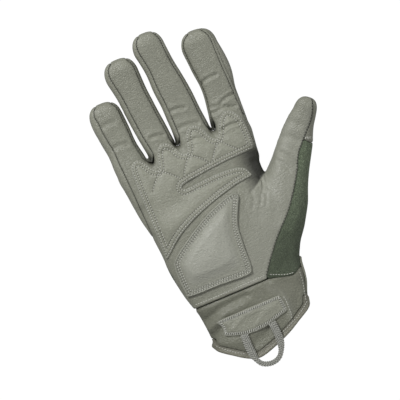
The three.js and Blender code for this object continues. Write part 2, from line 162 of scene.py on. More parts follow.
def curve(points, closed=False, step=0.8):
    """Points about a step apart on the smooth curve through the given ones."""
    points = np.array(points, dtype=float)
    if closed:
        padded = np.vstack((points[-1], points, points[:2]))
    else:
        padded = np.vstack((2 * points[0] - points[1], points, 2 * points[-1] - points[-2]))
    pieces = []
    for a, b, c, d in zip(padded, padded[1:], padded[2:], padded[3:]):
        count = max(2, round(float(np.linalg.norm(c - b)) / step))
        t = np.linspace(0, 1, count, endpoint=False)[:, None]
        bend = (2 * a - 5 * b + 4 * c - d) * t**2 + (3 * b - a - 3 * c + d) * t**3
        pieces.append(b + 0.5 * ((c - a) * t + bend))
    if not closed:
        pieces.append(points[-1:])
    return np.vstack(pieces)


def path_distance(at, path, closed=False):
    """Distance in plan from each point to a path."""
    at = np.asarray(at, dtype=float)[:, :2]
    ends = np.roll(path, -1, axis=0) if closed else path[1:]
    starts = path if closed else path[:-1]
    best = np.full(len(at), np.inf)
    for start, end in zip(starts, ends):
        along = end - start
        size = max(float(along @ along), 1e-12)
        t = np.clip(((at - start) @ along) / size, 0.0, 1.0)
        gap = at - start - t[:, None] * along
        best = np.minimum(best, gap[:, 0] ** 2 + gap[:, 1] ** 2)
    return np.sqrt(best)


def plan_distance(at, outline):
    """Signed distance in plan to a closed outline, below zero inside."""
    at = np.asarray(at, dtype=float)
    inside = np.zeros(len(at), dtype=bool)
    for (x0, y0), (x1, y1) in zip(outline, np.roll(outline, -1, axis=0)):
        if y0 == y1:
            continue
        crosses = (at[:, 1] < y0) != (at[:, 1] < y1)
        inside ^= crosses & (at[:, 0] < x0 + (at[:, 1] - y0) * (x1 - x0) / (y1 - y0))
    distance = path_distance(at, outline, closed=True)
    return np.where(inside, -distance, distance)


# Form of the filled glove


def rounded(terms, power):
    return sum(np.abs(term) ** power for term in terms) ** (1.0 / power)


def finger_field(name, x, y, z):
    finger = FINGERS[name]
    left, right, half = (hermite(y, finger["rows"], column) for column in (1, 2, 3))
    wide = (right - left) / 2
    beyond = np.clip(y - (finger["tip"] - finger["cap"]), 0, None) / finger["cap"]
    before = np.clip(18.0 - y, 0, None) / 8.0
    section = rounded(((x - (left + right) / 2) / wide, z / half), FINGER_FLATNESS)
    size = rounded((section, beyond, before), FINGER_SQUARENESS)
    return (size - 1.0) * np.minimum(wide, half)


def hand_field(x, y, z):
    left, right, up, down = (hermite(y, HAND, column) for column in (1, 2, 3, 4))
    wide = (right - left) / 2
    beyond = np.clip(y - HAND_CAP_START, 0, None) / HAND_CAP
    across = (x - (left + right) / 2) / wide
    size = rounded((across, z / np.where(z > 0, up, down), beyond), HAND_SQUARENESS)
    return (size - 1.0) * up


def thumb_field(x, y, z):
    along = (x - THUMB_ROOT[0]) * THUMB_AXIS[0] + (y - THUMB_ROOT[1]) * THUMB_AXIS[1]
    across = (x - THUMB_ROOT[0]) * THUMB_AXIS[1] - (y - THUMB_ROOT[1]) * THUMB_AXIS[0]
    inner, outer, half = (hermite(along, THUMB, column) for column in (1, 2, 3))
    wide = (outer - inner) / 2
    beyond = np.clip(along - (THUMB_TIP - THUMB_CAP), 0, None) / THUMB_CAP
    before = np.clip(-along, 0, None) / 20.0
    size = rounded(((across - (inner + outer) / 2) / wide, z / half, beyond, before), FINGER_SQUARENESS)
    return (size - 1.0) * half


def blend_union(a, b, reach):
    h = np.clip(0.5 + 0.5 * (b - a) / reach, 0.0, 1.0)
    return b + (a - b) * h - reach * h * (1.0 - h)


class Grid:
    """The glove's form as a field of distances on a grid, below zero inside."""

    low = np.array((-80.0, -136.0, -19.0))
    high = np.array((89.0, 137.0, 20.0))

    def __init__(self, step, inset=0.0):
        self.step = np.array((step * 0.9, step * 1.1, step * 0.95))
        self.counts = np.ceil((self.high - self.low) / self.step).astype(int) + 1
        x, y, z = (self.low[i] + self.step[i] * np.arange(self.counts[i]) for i in range(3))
        x, y, z = x[:, None, None], y[None, :, None], z[None, None, :]
        crotch_reach = 1.6 + 5.0 * smoothstep(0.0, -16.0, y)
        hand = blend_union(hand_field(x, y, z), thumb_field(x, y, z), crotch_reach)
        fingers = functools.reduce(np.minimum, (finger_field(name, x, y, z) for name in FINGERS))
        field = blend_union(hand, fingers, 2.4)
        self.field = (np.maximum(field, -FLOOR_DEPTH - z) + inset).astype(np.float32)
        self.slopes = [s.astype(np.float32) for s in np.gradient(self.field, *self.step)]

    def sample(self, volume, points):
        where = np.clip((points - self.low) / self.step, 0, self.counts - 1.001)
        cell = where.astype(int)
        part = where - cell
        total = np.zeros(len(points))
        for corner in np.ndindex(2, 2, 2):
            weight = np.prod(np.where(corner, part, 1.0 - part), axis=1)
            i, j, k = (cell + corner).T
            total += weight * volume[i, j, k]
        return total

    def gradient(self, points):
        return np.stack([self.sample(slope, points) for slope in self.slopes], axis=1)

    def settle(self, points, rounds=2):
        """Moves points onto the form's surface, and gives the outward directions there."""
        for _ in range(rounds):
            slope = self.gradient(points)
            size = np.maximum((slope**2).sum(axis=1), 0.05)
            points = points - slope * (self.sample(self.field, points) / size)[:, None]
        slope = self.gradient(points)
        return points, slope / np.linalg.norm(slope, axis=1)[:, None]

    def surface(self):
        """Quads round the surface, with one corner in each cell that it crosses."""
        inside = self.field < 0
        spans = [(slice(0, n - 1), slice(1, n)) for n in self.counts]
        count = sum(
            inside[spans[0][i], spans[1][j], spans[2][k]].astype(np.int8) for i, j, k in np.ndindex(2, 2, 2)
        )
        mixed = (count > 0) & (count < 8)
        cells = np.argwhere(mixed)
        ids = np.full(mixed.shape, -1)
        ids[mixed] = np.arange(len(cells))
        total = np.zeros((len(cells), 3))
        crossings = np.zeros((len(cells), 1))
        for axis in range(3):
            along = np.eye(3, dtype=int)[axis]
            for corner in np.ndindex(2, 2, 2):
                if corner[axis]:
                    continue
                start = cells + corner
                a = self.field[tuple(start.T)]
                b = self.field[tuple((start + along).T)]
                hit = (a < 0) != (b < 0)
                t = np.where(hit, a / np.where(hit, a - b, 1.0), 0.0)
                total += np.where(hit[:, None], np.array(corner) + t[:, None] * along, 0.0)
                crossings += hit[:, None]
        points = self.low + self.step * (cells + total / crossings)
        quads = []
        for axis in range(3):
            u, v = (axis + 1) % 3, (axis + 2) % 3
            low = [slice(1, n - 1) for n in self.counts]
            low[axis] = slice(0, self.counts[axis] - 1)
            high = list(low)
            high[axis] = slice(1, self.counts[axis])
            a, b = inside[tuple(low)], inside[tuple(high)]
            shift = np.array([0 if i == axis else 1 for i in range(3)])
            for leaves in (True, False):
                edge = np.argwhere((a != b) & (a == leaves)) + shift
                ring = []
                for du, dv in ((0, 0), (-1, 0), (-1, -1), (0, -1)):
                    cell = edge.copy()
                    cell[:, u] += du
                    cell[:, v] += dv
                    ring.append(ids[tuple(cell.T)])
                quads.append(np.stack(ring if leaves else ring[::-1], axis=1))
        return points, np.vstack(quads)


class Skin:
    """A triangle surface on the flat glove, with the outward direction at each point."""

    def __init__(self, points, normals, faces):
        self.points, self.normals, self.faces = points, normals, faces

    def cut(self, value):
        """The part of the surface where value is below zero, and value there."""
        value = np.where(np.abs(value) < 0.06, -1e-6, value)
        inside = value < 0
        count = inside[self.faces].sum(axis=1)
        kept = [self.faces[count == 3]]
        mixed = self.faces[(count == 1) | (count == 2)]
        odd = inside[mixed] == (count[(count == 1) | (count == 2)] == 1)[:, None]
        first = odd.argmax(axis=1)
        rows = np.arange(len(mixed))
        a, b, c = (mixed[rows, (first + i) % 3] for i in range(3))
        edges = np.sort(np.vstack((np.stack((a, b), axis=1), np.stack((a, c), axis=1))), axis=1)
        edges, which = np.unique(edges, axis=0, return_inverse=True)
        which = which.reshape(-1) + len(self.points)
        ab, ac = which[: len(mixed)], which[len(mixed) :]
        alone = inside[a]
        kept.append(np.stack((a, ab, ac), axis=1)[alone])
        kept.append(np.stack((ab, b, c), axis=1)[~alone])
        kept.append(np.stack((ab, c, ac), axis=1)[~alone])
        i, j = edges.T
        t = (value[i] / (value[i] - value[j]))[:, None]
        points = np.vstack((self.points, self.points[i] + t * (self.points[j] - self.points[i])))
        normals = np.vstack((self.normals, self.normals[i] + t * (self.normals[j] - self.normals[i])))
        normals /= np.linalg.norm(normals, axis=1)[:, None]
        value = np.concatenate((value, np.zeros(len(edges))))
        faces = np.vstack(kept)
        used, faces = np.unique(faces, return_inverse=True)
        return Skin(points[used], normals[used], faces.reshape(-1, 3)), value[used]

    def refined(self, settle):
        """Each triangle in four, with the new points settled on the form."""
        a, b, c = self.faces.T
        edges = np.sort(np.vstack((np.stack((a, b), 1), np.stack((b, c), 1), np.stack((c, a), 1))), axis=1)
        edges, which = np.unique(edges, axis=0, return_inverse=True)
        ab, bc, ca = (which.reshape(-1) + len(self.points)).reshape(3, -1)
        points = np.vstack((self.points, self.points[edges].mean(axis=1)))
        quarters = ((a, ab, ca), (ab, b, bc), (ca, bc, c), (ab, bc, ca))
        faces = np.vstack([np.stack(quarter, axis=1) for quarter in quarters])
        points, normals = settle(points)
        return Skin(points, normals, faces)

    def rim(self):
        """Edges that belong to one face only, in that face's direction."""
        a, b, c = self.faces.T
        edges = np.vstack((np.stack((a, b), 1), np.stack((b, c), 1), np.stack((c, a), 1)))
        keys = np.sort(edges, axis=1)
        _, first, count = np.unique(keys, axis=0, return_index=True, return_counts=True)
        return edges[first[count == 1]]

    def closed(self, outer, inner):
        """Points and faces of a closed sheet whose two sides lie at heights outer and inner."""
        count = len(self.points)
        top = self.points + self.normals * np.broadcast_to(outer, count)[:, None]
        bottom = self.points + self.normals * np.broadcast_to(inner, count)[:, None]
        a, b = self.rim().T
        walls = np.vstack((np.stack((b, a, a + count), 1), np.stack((b, a + count, b + count), 1)))
        faces = np.vstack((self.faces, self.faces[:, ::-1] + count, walls))
        return np.vstack((top, bottom)), faces


def lifted(points):
    """Flat glove points with the fingers and thumb curled up, in the frame's metres."""
    x, y, z = np.asarray(points, dtype=float).T
    knuckle = np.clip(y - CURL_START, 0, None) / CURL_REACH
    along = (x - THUMB_ROOT[0]) * THUMB_AXIS[0] + (y - THUMB_ROOT[1]) * THUMB_AXIS[1]
    thumb = np.clip(along - THUMB_RISE_START, 0, None) / THUMB_REACH
    beside = (x > 33 + 0.3 * (y - 5)) & (y < 50)
    rise = np.where(beside, THUMB_RISE * thumb**2, FINGER_CURL * knuckle**2)
    height = z + rise + FLOOR_DEPTH
    rested = 0.5 * (height + np.sqrt(height**2 + FLOOR_SOFTNESS**2))
    return np.stack((x - ORIGIN[0], y - ORIGIN[1], rested), axis=1) * MM


# Plan outlines of the panels


TIP_TURNS = {"left": (10.0, 25.0, 40.0, 55.0, 70.0), "right": (10.0, 25.0, 40.0, 50.0)}
TIP_INSET = 1.3


def finger_seam(name, side, start):
    """A seam along a finger, from the crotch to its tip, and a point past the tip."""
    finger = FINGERS[name]
    column = 1 if side == "left" else 2
    inwards = 1.0 if side == "left" else -1.0
    inset = finger["seam_in"][0 if side == "left" else 1]
    cap_start = finger["tip"] - finger["cap"]
    ys = np.append(np.arange(start, cap_start - 2.0, 4.0), cap_start)
    xs = hermite(ys, finger["rows"], column) + inwards * inset
    left, right = (float(hermite(cap_start, finger["rows"], i)) for i in (1, 2))
    turn = np.radians(TIP_TURNS[side])
    close = np.interp(turn, (0.0, turn[-1]), (inset, TIP_INSET))
    wide = ((right - left) / 2 - close) * np.cos(turn) ** (2 / FINGER_SQUARENESS)
    high = (finger["cap"] - close) * np.sin(turn) ** (2 / FINGER_SQUARENESS)
    bend = np.stack(((left + right) / 2 - inwards * wide, cap_start + high), axis=1)
    past = np.array((bend[-1, 0] + inwards * 1.5, finger["tip"] + 4.0))
    return np.vstack((np.stack((xs, ys), axis=1), bend)), past


def fourchette(left_finger, right_finger, crotch, start):
    near, near_past = finger_seam(left_finger, "right", start)
    far, far_past = finger_seam(right_finger, "left", start)
    shorter, taller = sorted((near_past, far_past), key=lambda p: p[1])
    beyond = (shorter[0], taller[1])
    return np.vstack((crotch, far, far_past, beyond, near_past, near[::-1]))


def outer_strip():
    seam, past = finger_seam("little", "left", 50.0)
    ulnar = ((-FAR, 100), (-FAR, -16), (-68.5, -16), (-66.8, -8), (-67.2, 8), (-67.5, 22), (-67.9, 38))
    return np.vstack((ulnar, seam, past, (-FAR, past[1])))


STRIPS = {
    "side_strip_little": outer_strip(),
    "fourchette_little_ring": fourchette("little", "ring", (-45.6, 41.0), 46.0),
    "fourchette_ring_middle": fourchette("ring", "middle", (-22.6, 45.5), 51.0),
    "fourchette_middle_index": fourchette("middle", "index", (6.2, 45.0), 51.0),
}
INDEX_STRIP_WIDTH = 2.3
INDEX_SEAM = curve(
    ((31.7, 48), (31.3, 57), (31.2, 69), (30.7, 86), (30.7, 100), (30.9, 107), (30.2, 112.5),
    (27.2, 117.6)),
    step=3,
)
INDEX_TAPER = np.linspace(1.6, INDEX_STRIP_WIDTH, len(INDEX_SEAM))[:, None]
INDEX_STRIP = np.vstack((INDEX_SEAM, INDEX_SEAM[::-1] + INDEX_TAPER * (1, 0)))
INDEX_SIDE = np.vstack((INDEX_SEAM, ((25.5, 121), (26, 130), (60, 130), (60, 48))))
THUMB_SEAM = curve(
    (
        (83.5, 42), (82.2, 34.4), (76.7, 24.2), (67.8, 15), (57.8, 3.9), (50.7, -9.3),
        (35.7, -30.4), (20, -46), (8, -60), (0.3, -70.5),
    ),
    step=3,
)
CUFF_LINE = curve(((0.3, -72.5), (14.7, -76.6), (20, -77.3), (25, -74.6), (31, -72.4)), step=3)
PALM = np.vstack((((-FAR, -72.5), (-0.6, -72.5)), THUMB_SEAM[::-1], ((88, 50), (110, FAR), (-FAR, FAR))))
GUSSET_FRONT = np.vstack((THUMB_SEAM, CUFF_LINE, ((FAR, -72.4), (FAR, 42))))
GUSSET_BACK = np.array(
    ((FAR, -72.2), (27, -72.2), (22, -45), (23, -16), (29.6, 1.8), (36, 11), (70, 52), (FAR, 52)),
    dtype=float,
)
THUMB_CAP_AREA = np.array(((53.5, 24.4), (69.6, 8.4), (FAR, -20), (FAR, 90), (70, 52)), dtype=float)
KNUCKLE_LINE = 46.0
HAND_BACK = np.array(
    (
        (-FAR, -72.2), (27, -72.2), (22, -45), (23, -16), (29.6, 1.8), (34, 12), (45, KNUCKLE_LINE),
        (-FAR, KNUCKLE_LINE),
    ),
    dtype=float,
)


def finger_back(base, end, reach):
    outline = ((base[0], KNUCKLE_LINE), (base[1], KNUCKLE_LINE), (end[1], reach), (end[0], reach))
    return np.array(outline, dtype=float)


FINGER_BACKS = {
    "finger_back_little": finger_back((-95, -47.5), (-95, -55), 101),
    "finger_back_ring": finger_back((-46.5, -23), (-56, -28), 130),
    "finger_back_middle": finger_back((-22, 5.5), (-27, 0), 140),
    "finger_back_index": finger_back((7, 50), (5, 50), 130),
}
HEM_LINE = curve(
    (
        (-58.2, -102.6), (-57.3, -106.2), (-54.0, -109.6), (-46.7, -115), (-36.5, -121.8), (-27, -124.6),
        (-13.3, -121), (0, -115.7), (10, -110.3), (18.7, -105.6), (22.0, -102.4), (23.6, -98.6),
    ),
    step=2,
)
INSIDE_HEM = np.vstack((HEM_LINE, ((FAR, -96), (FAR, FAR), (-FAR, FAR), (-FAR, -93))))
CUFF = np.vstack((((-FAR, -72.8), (0.3, -72.8)), CUFF_LINE, ((FAR, -72.6), (FAR, -FAR), (-FAR, -FAR))))
CLOSURE = np.array(((0, -97.0), (34, -97.0), (34, -66.5), (0, -66.5)), dtype=float)
CLOSURE_TOP = 3.6
HEM_CORNER = np.array(((-61.0, -102.5), (-55.0, -103.3)))  # the fold at the end of the hem
HEM_BAND = 5.2


# The grip patch has a tab under each finger, a slot with a rounded end, and a tongue under the slot
LITTLE_TAB = (
    (-62.6, 32), (-62.2, 40), (-60.4, 44.8), (-56.8, 46.8), (-52.8, 45.4), (-49.9, 41), (-47, 36.4),
)
RING_TAB = (
    (-43.2, 34), (-41.5, 37.5), (-40.3, 42.5), (-38.2, 47.4), (-34.8, 50.8), (-30.6, 50.4), (-27.3, 47.2),
)
MIDDLE_TAB = (
    (-25, 42.8), (-22.6, 38.8), (-19.7, 37), (-17.4, 39), (-16.2, 43), (-14.8, 48.6), (-12, 53),
    (-8, 54.8), (-4, 53.4), (-1, 49.2), (1, 44), (3.2, 40.2),
)
INDEX_TAB = (
    (5.7, 38.4), (7.9, 40.2), (9.9, 44.4), (12.4, 49.6), (15.4, 53.5), (19.4, 55), (23.4, 53.9),
    (26.6, 50.2), (28.7, 45), (29.6, 38), (29.6, 30), (29.2, 24), (28.4, 21.8),
)
SLOT_TOP = ((26.5, 21.3), (14, 20.9), (0.6, 20.2), (-20, 18.2), (-29, 17), (-32, 15.6), (-31.6, 13.4))
TONGUE = (
    (-28.6, 13), (-20, 13.6), (-4, 14.2), (8, 13.4), (13.5, 12), (17.4, 9.6), (19.6, 5),
    (19.9, 3.5), (17, 2.8),
)
PATCH_FOOT = (
    (5, 1.2), (-12.5, -3.2), (-31.3, -9.6), (-48.1, -18.2), (-60.5, -28.4), (-63, -29.6), (-63.4, -26),
)
GRIP_OUTLINE = curve(
    ((-63, -8), (-62.9, 20)) + LITTLE_TAB + RING_TAB + MIDDLE_TAB + INDEX_TAB + SLOT_TOP + TONGUE
    + PATCH_FOOT,
    closed=True,
)
HEEL_OUTLINE = curve(
    (
        (-1.3, -3.8), (4.4, -6.8), (0, -16.3), (-4.8, -28), (-6.6, -45), (-7.6, -59.5), (-12, -64.2),
        (-33.3, -63.2), (-57, -62.4), (-60, -58), (-60.3, -39.4), (-57, -32.2), (-42.5, -21.9),
        (-22, -10.6),
    ),
    closed=True,
)
PAD_OUTLINE = curve(
    (
        (-5, -11), (-7.5, -20), (-10.3, -30), (-11.6, -40), (-12.3, -50), (-14.5, -56),
        (-22, -57.6), (-50, -57.2), (-55.8, -53), (-56.6, -44), (-54, -36), (-39, -25), (-19, -14.2),
        (-9, -10.2),
    ),
    closed=True,
)
CUFF_PATCH_OUTLINE = curve(
    (
        (-46.4, -87.2), (-30, -87), (-10, -87), (1.4, -87), (3.2, -87.8), (4.2, -91), (4.9, -98),
        (3.8, -100.2), (-4, -102.2), (-12, -104.4), (-20, -105.3), (-29, -105), (-38, -102.7),
        (-44.4, -100.2), (-46, -98.6), (-44.9, -94.6), (-45.9, -91), (-47.6, -88.4),
    ),
    closed=True,
)
# The quilting's zigzag: the apex under each notch, and the legs' feet
QUILT_LEGS = (
    ((6.5, 37), (0.9, 30.6), (-3.1, 25)), ((6.5, 37), (12.5, 30), (17, 25.5)),
    ((-18, 35.8), (-25, 26.3), (-27.5, 22)), ((-18, 35.8), (-10.6, 29.4), (-6.9, 25)),
    ((-42.5, 33.2), (-35, 26.3), (-31.3, 22.5)), ((-42.5, 33.2), (-50, 25), (-53, 21)),
)

# Creases of the leather: start, end, depth, width
CREASES = (
    ((-39, 58.2), (-30, 56.6), 1.00, 1.4),
    ((-17.5, 70.6), (-7.5, 69.4), 1.00, 1.4),
    ((-17, 56.4), (-3, 55.0), 0.76, 1.7),
    ((-14, 44.4), (-4, 43.4), 0.66, 1.5),
    ((-37, 44.4), (-27, 43.4), 0.66, 1.5),
    ((10, 80.6), (24, 82.6), 1.0, 1.3),
    ((19, 61.6), (30, 64.4), 1.05, 1.3),
    ((12, 61.4), (21, 59.0), 0.88, 1.3),
    ((11, 57.4), (28, 55.6), 1.15, 1.5),
    ((12, 42.6), (25, 43.4), 1.00, 1.3),
    ((-68, 62.0), (-58, 61.0), 0.55, 1.8),
    ((-70, 79.0), (-60, 80.0), 0.45, 2.0),
    ((25.6, -1), (21.6, -12), 0.81, 0.9),
    ((21, -8), (17, -19), 0.45, 1.0),
    ((14.5, -8), (10.5, -20), 0.36, 1.4),
    ((23.5, -12), (20.5, -22), 0.36, 1.1),
    ((15, -0.5), (26, 0.3), 0.62, 1.0),
    ((46, 10), (53, -2), 0.81, 1.9),
    ((43, 5), (47, -4), 0.45, 1.7),
    ((52, 21), (62, 13), 0.55, 2.4),
    ((30, -12), (22, -34), 0.28, 3.3),
    ((60, 30), (66, 24), 0.45, 2.2),
)


# Needle rows of the patches, in from their edges
ROW_INSETS = (1.2, 3.8)
HEEL_INSETS = (1.9, 3.6)
PATCH_SEAT = 0.3  # clear height between a patch and the panel under it
OVERLAY_MARGIN = 1.5
CUFF_NEEDLE_PITCH = 0.6
SEAM_DEPTH = 0.34
SEAM_RIDGE = 0.08  # swelling of the leather beside a seam
NEEDLE_PITCH = 1.9
# Seam between the index finger and the thumb
INDEX_EDGE = ((31.7, 48), (31.4, 42.6), (30.9, 33), (30.4, 25))
CROTCH_FOLD = 2.6  # depth of the fold between the index finger's root and the thumb
CROTCHES = ((-45.6, 43.6), (-22.8, 49.0), (6.4, 49.4))  # bottoms of the gaps between the fingers
# Painted highlights on the leather: path, amount, width
PAINTED_HIGHLIGHTS = {
    "palm_front": ((((49, 13), (57, 27), (64, 38)), 0.3, 4.0),),
    "wrist_cuff": ((((-2, -79), (3, -84), (6.5, -92), (6.5, -100), (4, -108)), 0.4, 2.6),),
}
# Broad hollows and mounds of the palm: x, y, lean, reach along x, reach along y, height
PALM_HOLLOWS = (
    (-34, 7, 0.12, 24, 8.5, -1.6),
    (-50, -9, 0.0, 15, 9, 0.9),
    (-4, 4, 0.0, 20, 12, -0.9),
)
# Unevenness of every panel: seed, wavelength, height
PANEL_WAVES = ((5, 17.0, 0.15), (8, 5.0, 0.025))
# Folds of the cuff: path, height, width
CUFF_FOLDS = (
    (((-56, -84), (-40, -79.5), (-20, -78)), -1.82, 3.2),
    (((-54, -91), (-40, -85.5), (-22, -83)), 1.4, 3.4),
    (((-57, -99), (-47, -93), (-38, -89)), -1.68, 3.6),
    (((-52, -104), (-45, -106), (-36, -108)), 1.12, 4.0),
    (((-26, -112), (-18, -111), (-12, -106)), -1.26, 4.0),
    (((2, -78), (5, -86), (6.4, -96), (4.6, -110)), 1.26, 2.2),
    (((12, -80), (16, -90), (12, -102)), -0.98, 4.0),
)
# Folds of the thumb gusset: path, height, width
GUSSET_FOLDS = (
    (((46, -8), (42, -30), (30, -48)), 0.5, 3.0),
    (((30, -44), (24, -58), (16, -68)), -0.5, 3.5),
)
# Wrinkles of the cuff patch: path, height, width
CUFF_PATCH_FOLDS = (
    (((-38, -97), (-28, -92), (-18, -91)), 0.4, 1.6),
    (((-20, -100), (-12, -95), (-4, -93)), 0.35, 1.8),
)


@functools.cache
def form():
    return Grid(bpy.context.scene.glove_sizes.mesh_step)


def surface_skin(grid):
    """The filled glove's whole outer surface in triangles."""
    points, quads = grid.surface()
    points, normals = grid.settle(points)
    faces = np.vstack((quads[:, (0, 1, 2)], quads[:, (0, 2, 3)]))
    return Skin(points, normals, faces)


@functools.cache
def whole():
    return surface_skin(form())


@functools.cache
def strips_value():
    points = whole().points
    return functools.reduce(np.minimum, (plan_distance(points, outline) for outline in STRIPS.values()))


def side_line(points):
    """Height of the seam between the palm and the back, which comes up beside the heel of the hand."""
    x, y, _ = points.T
    return 4.0 * bell(y + 44.0, 9.0) * (x < -30)


@functools.cache
def palm_value():
    points = whole().points
    value = np.maximum(plan_distance(points, PALM), side_line(points) - points[:, 2])
    value = np.maximum(value, -strips_value())
    return np.maximum(value, -np.maximum(plan_distance(points, INDEX_SIDE), -points[:, 2]))


@functools.cache
def thumb_value():
    points = whole().points
    overlap = 3.0
    front = np.maximum(plan_distance(points, GUSSET_FRONT), -points[:, 2] - overlap)
    back = np.maximum(plan_distance(points, GUSSET_BACK), points[:, 2] - overlap)
    return np.maximum(np.minimum(front, back), -palm_value())


def panel_value(name):
    """Distance to a panel's edge at each point of the whole surface, below zero on the panel."""
    points = whole().points
    z = points[:, 2]
    if name in STRIPS:
        return plan_distance(points, STRIPS[name])
    if name == "side_strip_index":
        return np.maximum(plan_distance(points, INDEX_STRIP), -z)
    if name == "palm_front":
        return palm_value()
    if name == "thumb_tip_cap":
        return np.maximum(thumb_value(), plan_distance(points, THUMB_CAP_AREA))
    if name == "thumb_gusset":
        return np.maximum(thumb_value(), -plan_distance(points, THUMB_CAP_AREA))
    if name == "hand_back":
        above = z - side_line(points)
        return functools.reduce(np.maximum, (plan_distance(points, HAND_BACK), above, -strips_value()))
    if name == "wrist_cuff":
        return np.maximum(plan_distance(points, CUFF), plan_distance(points, INSIDE_HEM) + HEM_BAND)
    back = plan_distance(points, FINGER_BACKS[name])
    value = np.maximum(back, z)
    if name == "finger_back_index":
        side = np.maximum(plan_distance(points, INDEX_SIDE), -z - 3.0)
        outer = np.minimum(np.maximum(back, z - 3.0), side)
        strip = np.maximum(plan_distance(points, INDEX_STRIP), -z)
        value = np.where(points[:, 0] > 26.0, outer, value)
        value = functools.reduce(np.maximum, (value, -palm_value(), -strip))
    return np.maximum(value, -strips_value())


def soft_waves(points, seed, wavelength):
    """Smooth random unevenness between about -1 and 1."""
    random = np.random.default_rng(seed)
    total = np.zeros(len(points))
    for _ in range(9):
        direction = random.normal(size=3)
        direction *= 2 * math.pi / (wavelength * random.uniform(0.7, 1.6) * np.linalg.norm(direction))
        total += np.sin(points @ direction + random.uniform(0, 2 * math.pi))
    return total / 4.0


def folds(points, rows, step=3):
    """Height of the folds that run along the paths of a table."""
    away = [path_distance(points, curve(path, step=step)) for path, _, _ in rows]
    return sum(high * bell(gap, wide) for gap, (_, high, wide) in zip(away, rows))


def creases(points):
    """Depth of the leather's creases at each point of the palm side."""
    depth = np.zeros(len(points))
    for start, end, deep, width in CREASES:
        start, end = np.array(start, dtype=float), np.array(end, dtype=float)
        bow = np.array((start[1] - end[1], end[0] - start[0])) * 0.06
        path = curve((start, (start + end) / 2 + bow, end), step=2)
        distance = path_distance(points, path)
        depth += deep * (bell(distance, width) - 0.4 * bell(distance - 1.9 * width, 0.9 * width))
    return depth


# Making Blender objects


def mesh_object(name, points, faces, material, attributes=None, smooth_angle=50.0):
    mesh = bpy.data.meshes.new(name)
    mesh.vertices.add(len(points))
    mesh.vertices.foreach_set("co", np.ascontiguousarray(points, dtype=np.float32).ravel())
    sides = faces.shape[1]
    mesh.loops.add(faces.size)
    mesh.loops.foreach_set("vertex_index", np.ascontiguousarray(faces, dtype=np.int32).ravel())
    mesh.polygons.add(len(faces))
    mesh.polygons.foreach_set("loop_start", np.arange(0, faces.size, sides, dtype=np.int32))
    mesh.update(calc_edges=True)
    for key, values in (attributes or {}).items():
        layer = mesh.attributes.new(key, "FLOAT", "POINT")
        layer.data.foreach_set("value", np.ascontiguousarray(values, dtype=np.float32))
    mesh.shade_smooth()
    mesh.set_sharp_from_angle(angle=math.radians(smooth_angle))
    mesh.materials.append(material)
    made = bpy.data.objects.new(name, mesh)
    bpy.context.scene.collection.objects.link(made)
    return made


def placed(made, slot, *nodes):
    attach(made, "root")
    if nodes:
        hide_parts(*nodes)
    return made


def panel_marks(name, slot, points, edge, seam):
    """How dark a panel's seams are, where shade is painted into it, and where highlights are painted on its
    leather.
    """
    x, y, z = points.T
    dots = 0.75 + 0.25 * np.sin(y * 2 * math.pi / NEEDLE_PITCH)
    # Painted shade: the cloth darkens towards the cuff, and the leather in the folds at the roots of the
    # fingers and the thumb.
    if slot == "cloth":
        shade = 0.9 * smoothstep(-6, -66, y) * smoothstep(-13, -5, z)
    else:
        shade = crotch_shade(points)
    # Painted shade towards the cuff's left side.
    if name == "wrist_cuff":
        shade += 0.1 * smoothstep(-32, -54, x)
    # Painted highlights along the listed paths, and painted light over the thenar and the thumb that fades
    # before its tip.
    painted_highlight = folds(points, PAINTED_HIGHLIGHTS.get(name, ()))
    if name == "palm_front":
        painted_highlight += 0.4 * smoothstep(8, 28, x - 0.6 * y) * smoothstep(45, 20, y)
    return {"seam": seam * bell(edge, 0.55) * dots, "shade": shade, "wear_and_highlight": painted_highlight + np.zeros(len(points))}


def both_sides(marks):
    return {key: np.tile(values, 2) for key, values in marks.items()}


def make_panel(name, material, slot, relief=None, seam=1.0):
    """One sewn panel: a closed sheet of leather or cloth whose edges turn in at its seams."""
    sizes = bpy.context.scene.glove_sizes
    skin, value = whole().cut(panel_value(name) + sizes.seam_gap / 2)
    edge = -value + sizes.seam_gap / 2
    height = -SEAM_DEPTH * seam * bell(edge, 0.6) + SEAM_RIDGE * bell(edge - 2.4, 1.2)
    height += sum(high * soft_waves(skin.points, seed, length) for seed, length, high in PANEL_WAVES)
    if relief:
        height += relief(skin.points, edge)
    points, faces = skin.closed(height, height - sizes.leather)
    marks = both_sides(panel_marks(name, slot, skin.points, edge, seam))
    return placed(mesh_object(name + "_skin", lifted(points), faces, material, marks), slot, name)


def overlay_skin(outline):
    """Fine surface under a patch, with each point's distance in from the patch's edge."""
    around = plan_distance(whole().points, outline) - OVERLAY_MARGIN
    coarse, _ = whole().cut(np.maximum(around, -whole().points[:, 2]))
    fine = coarse.refined(form().settle)
    skin, value = fine.cut(plan_distance(fine.points, outline))
    return skin, -value


def rounded_edge(inside, thickness, radius):
    t = np.clip(inside / radius, 0.0, 1.0)
    return thickness * np.sqrt(1.0 - (1.0 - t) ** 2)


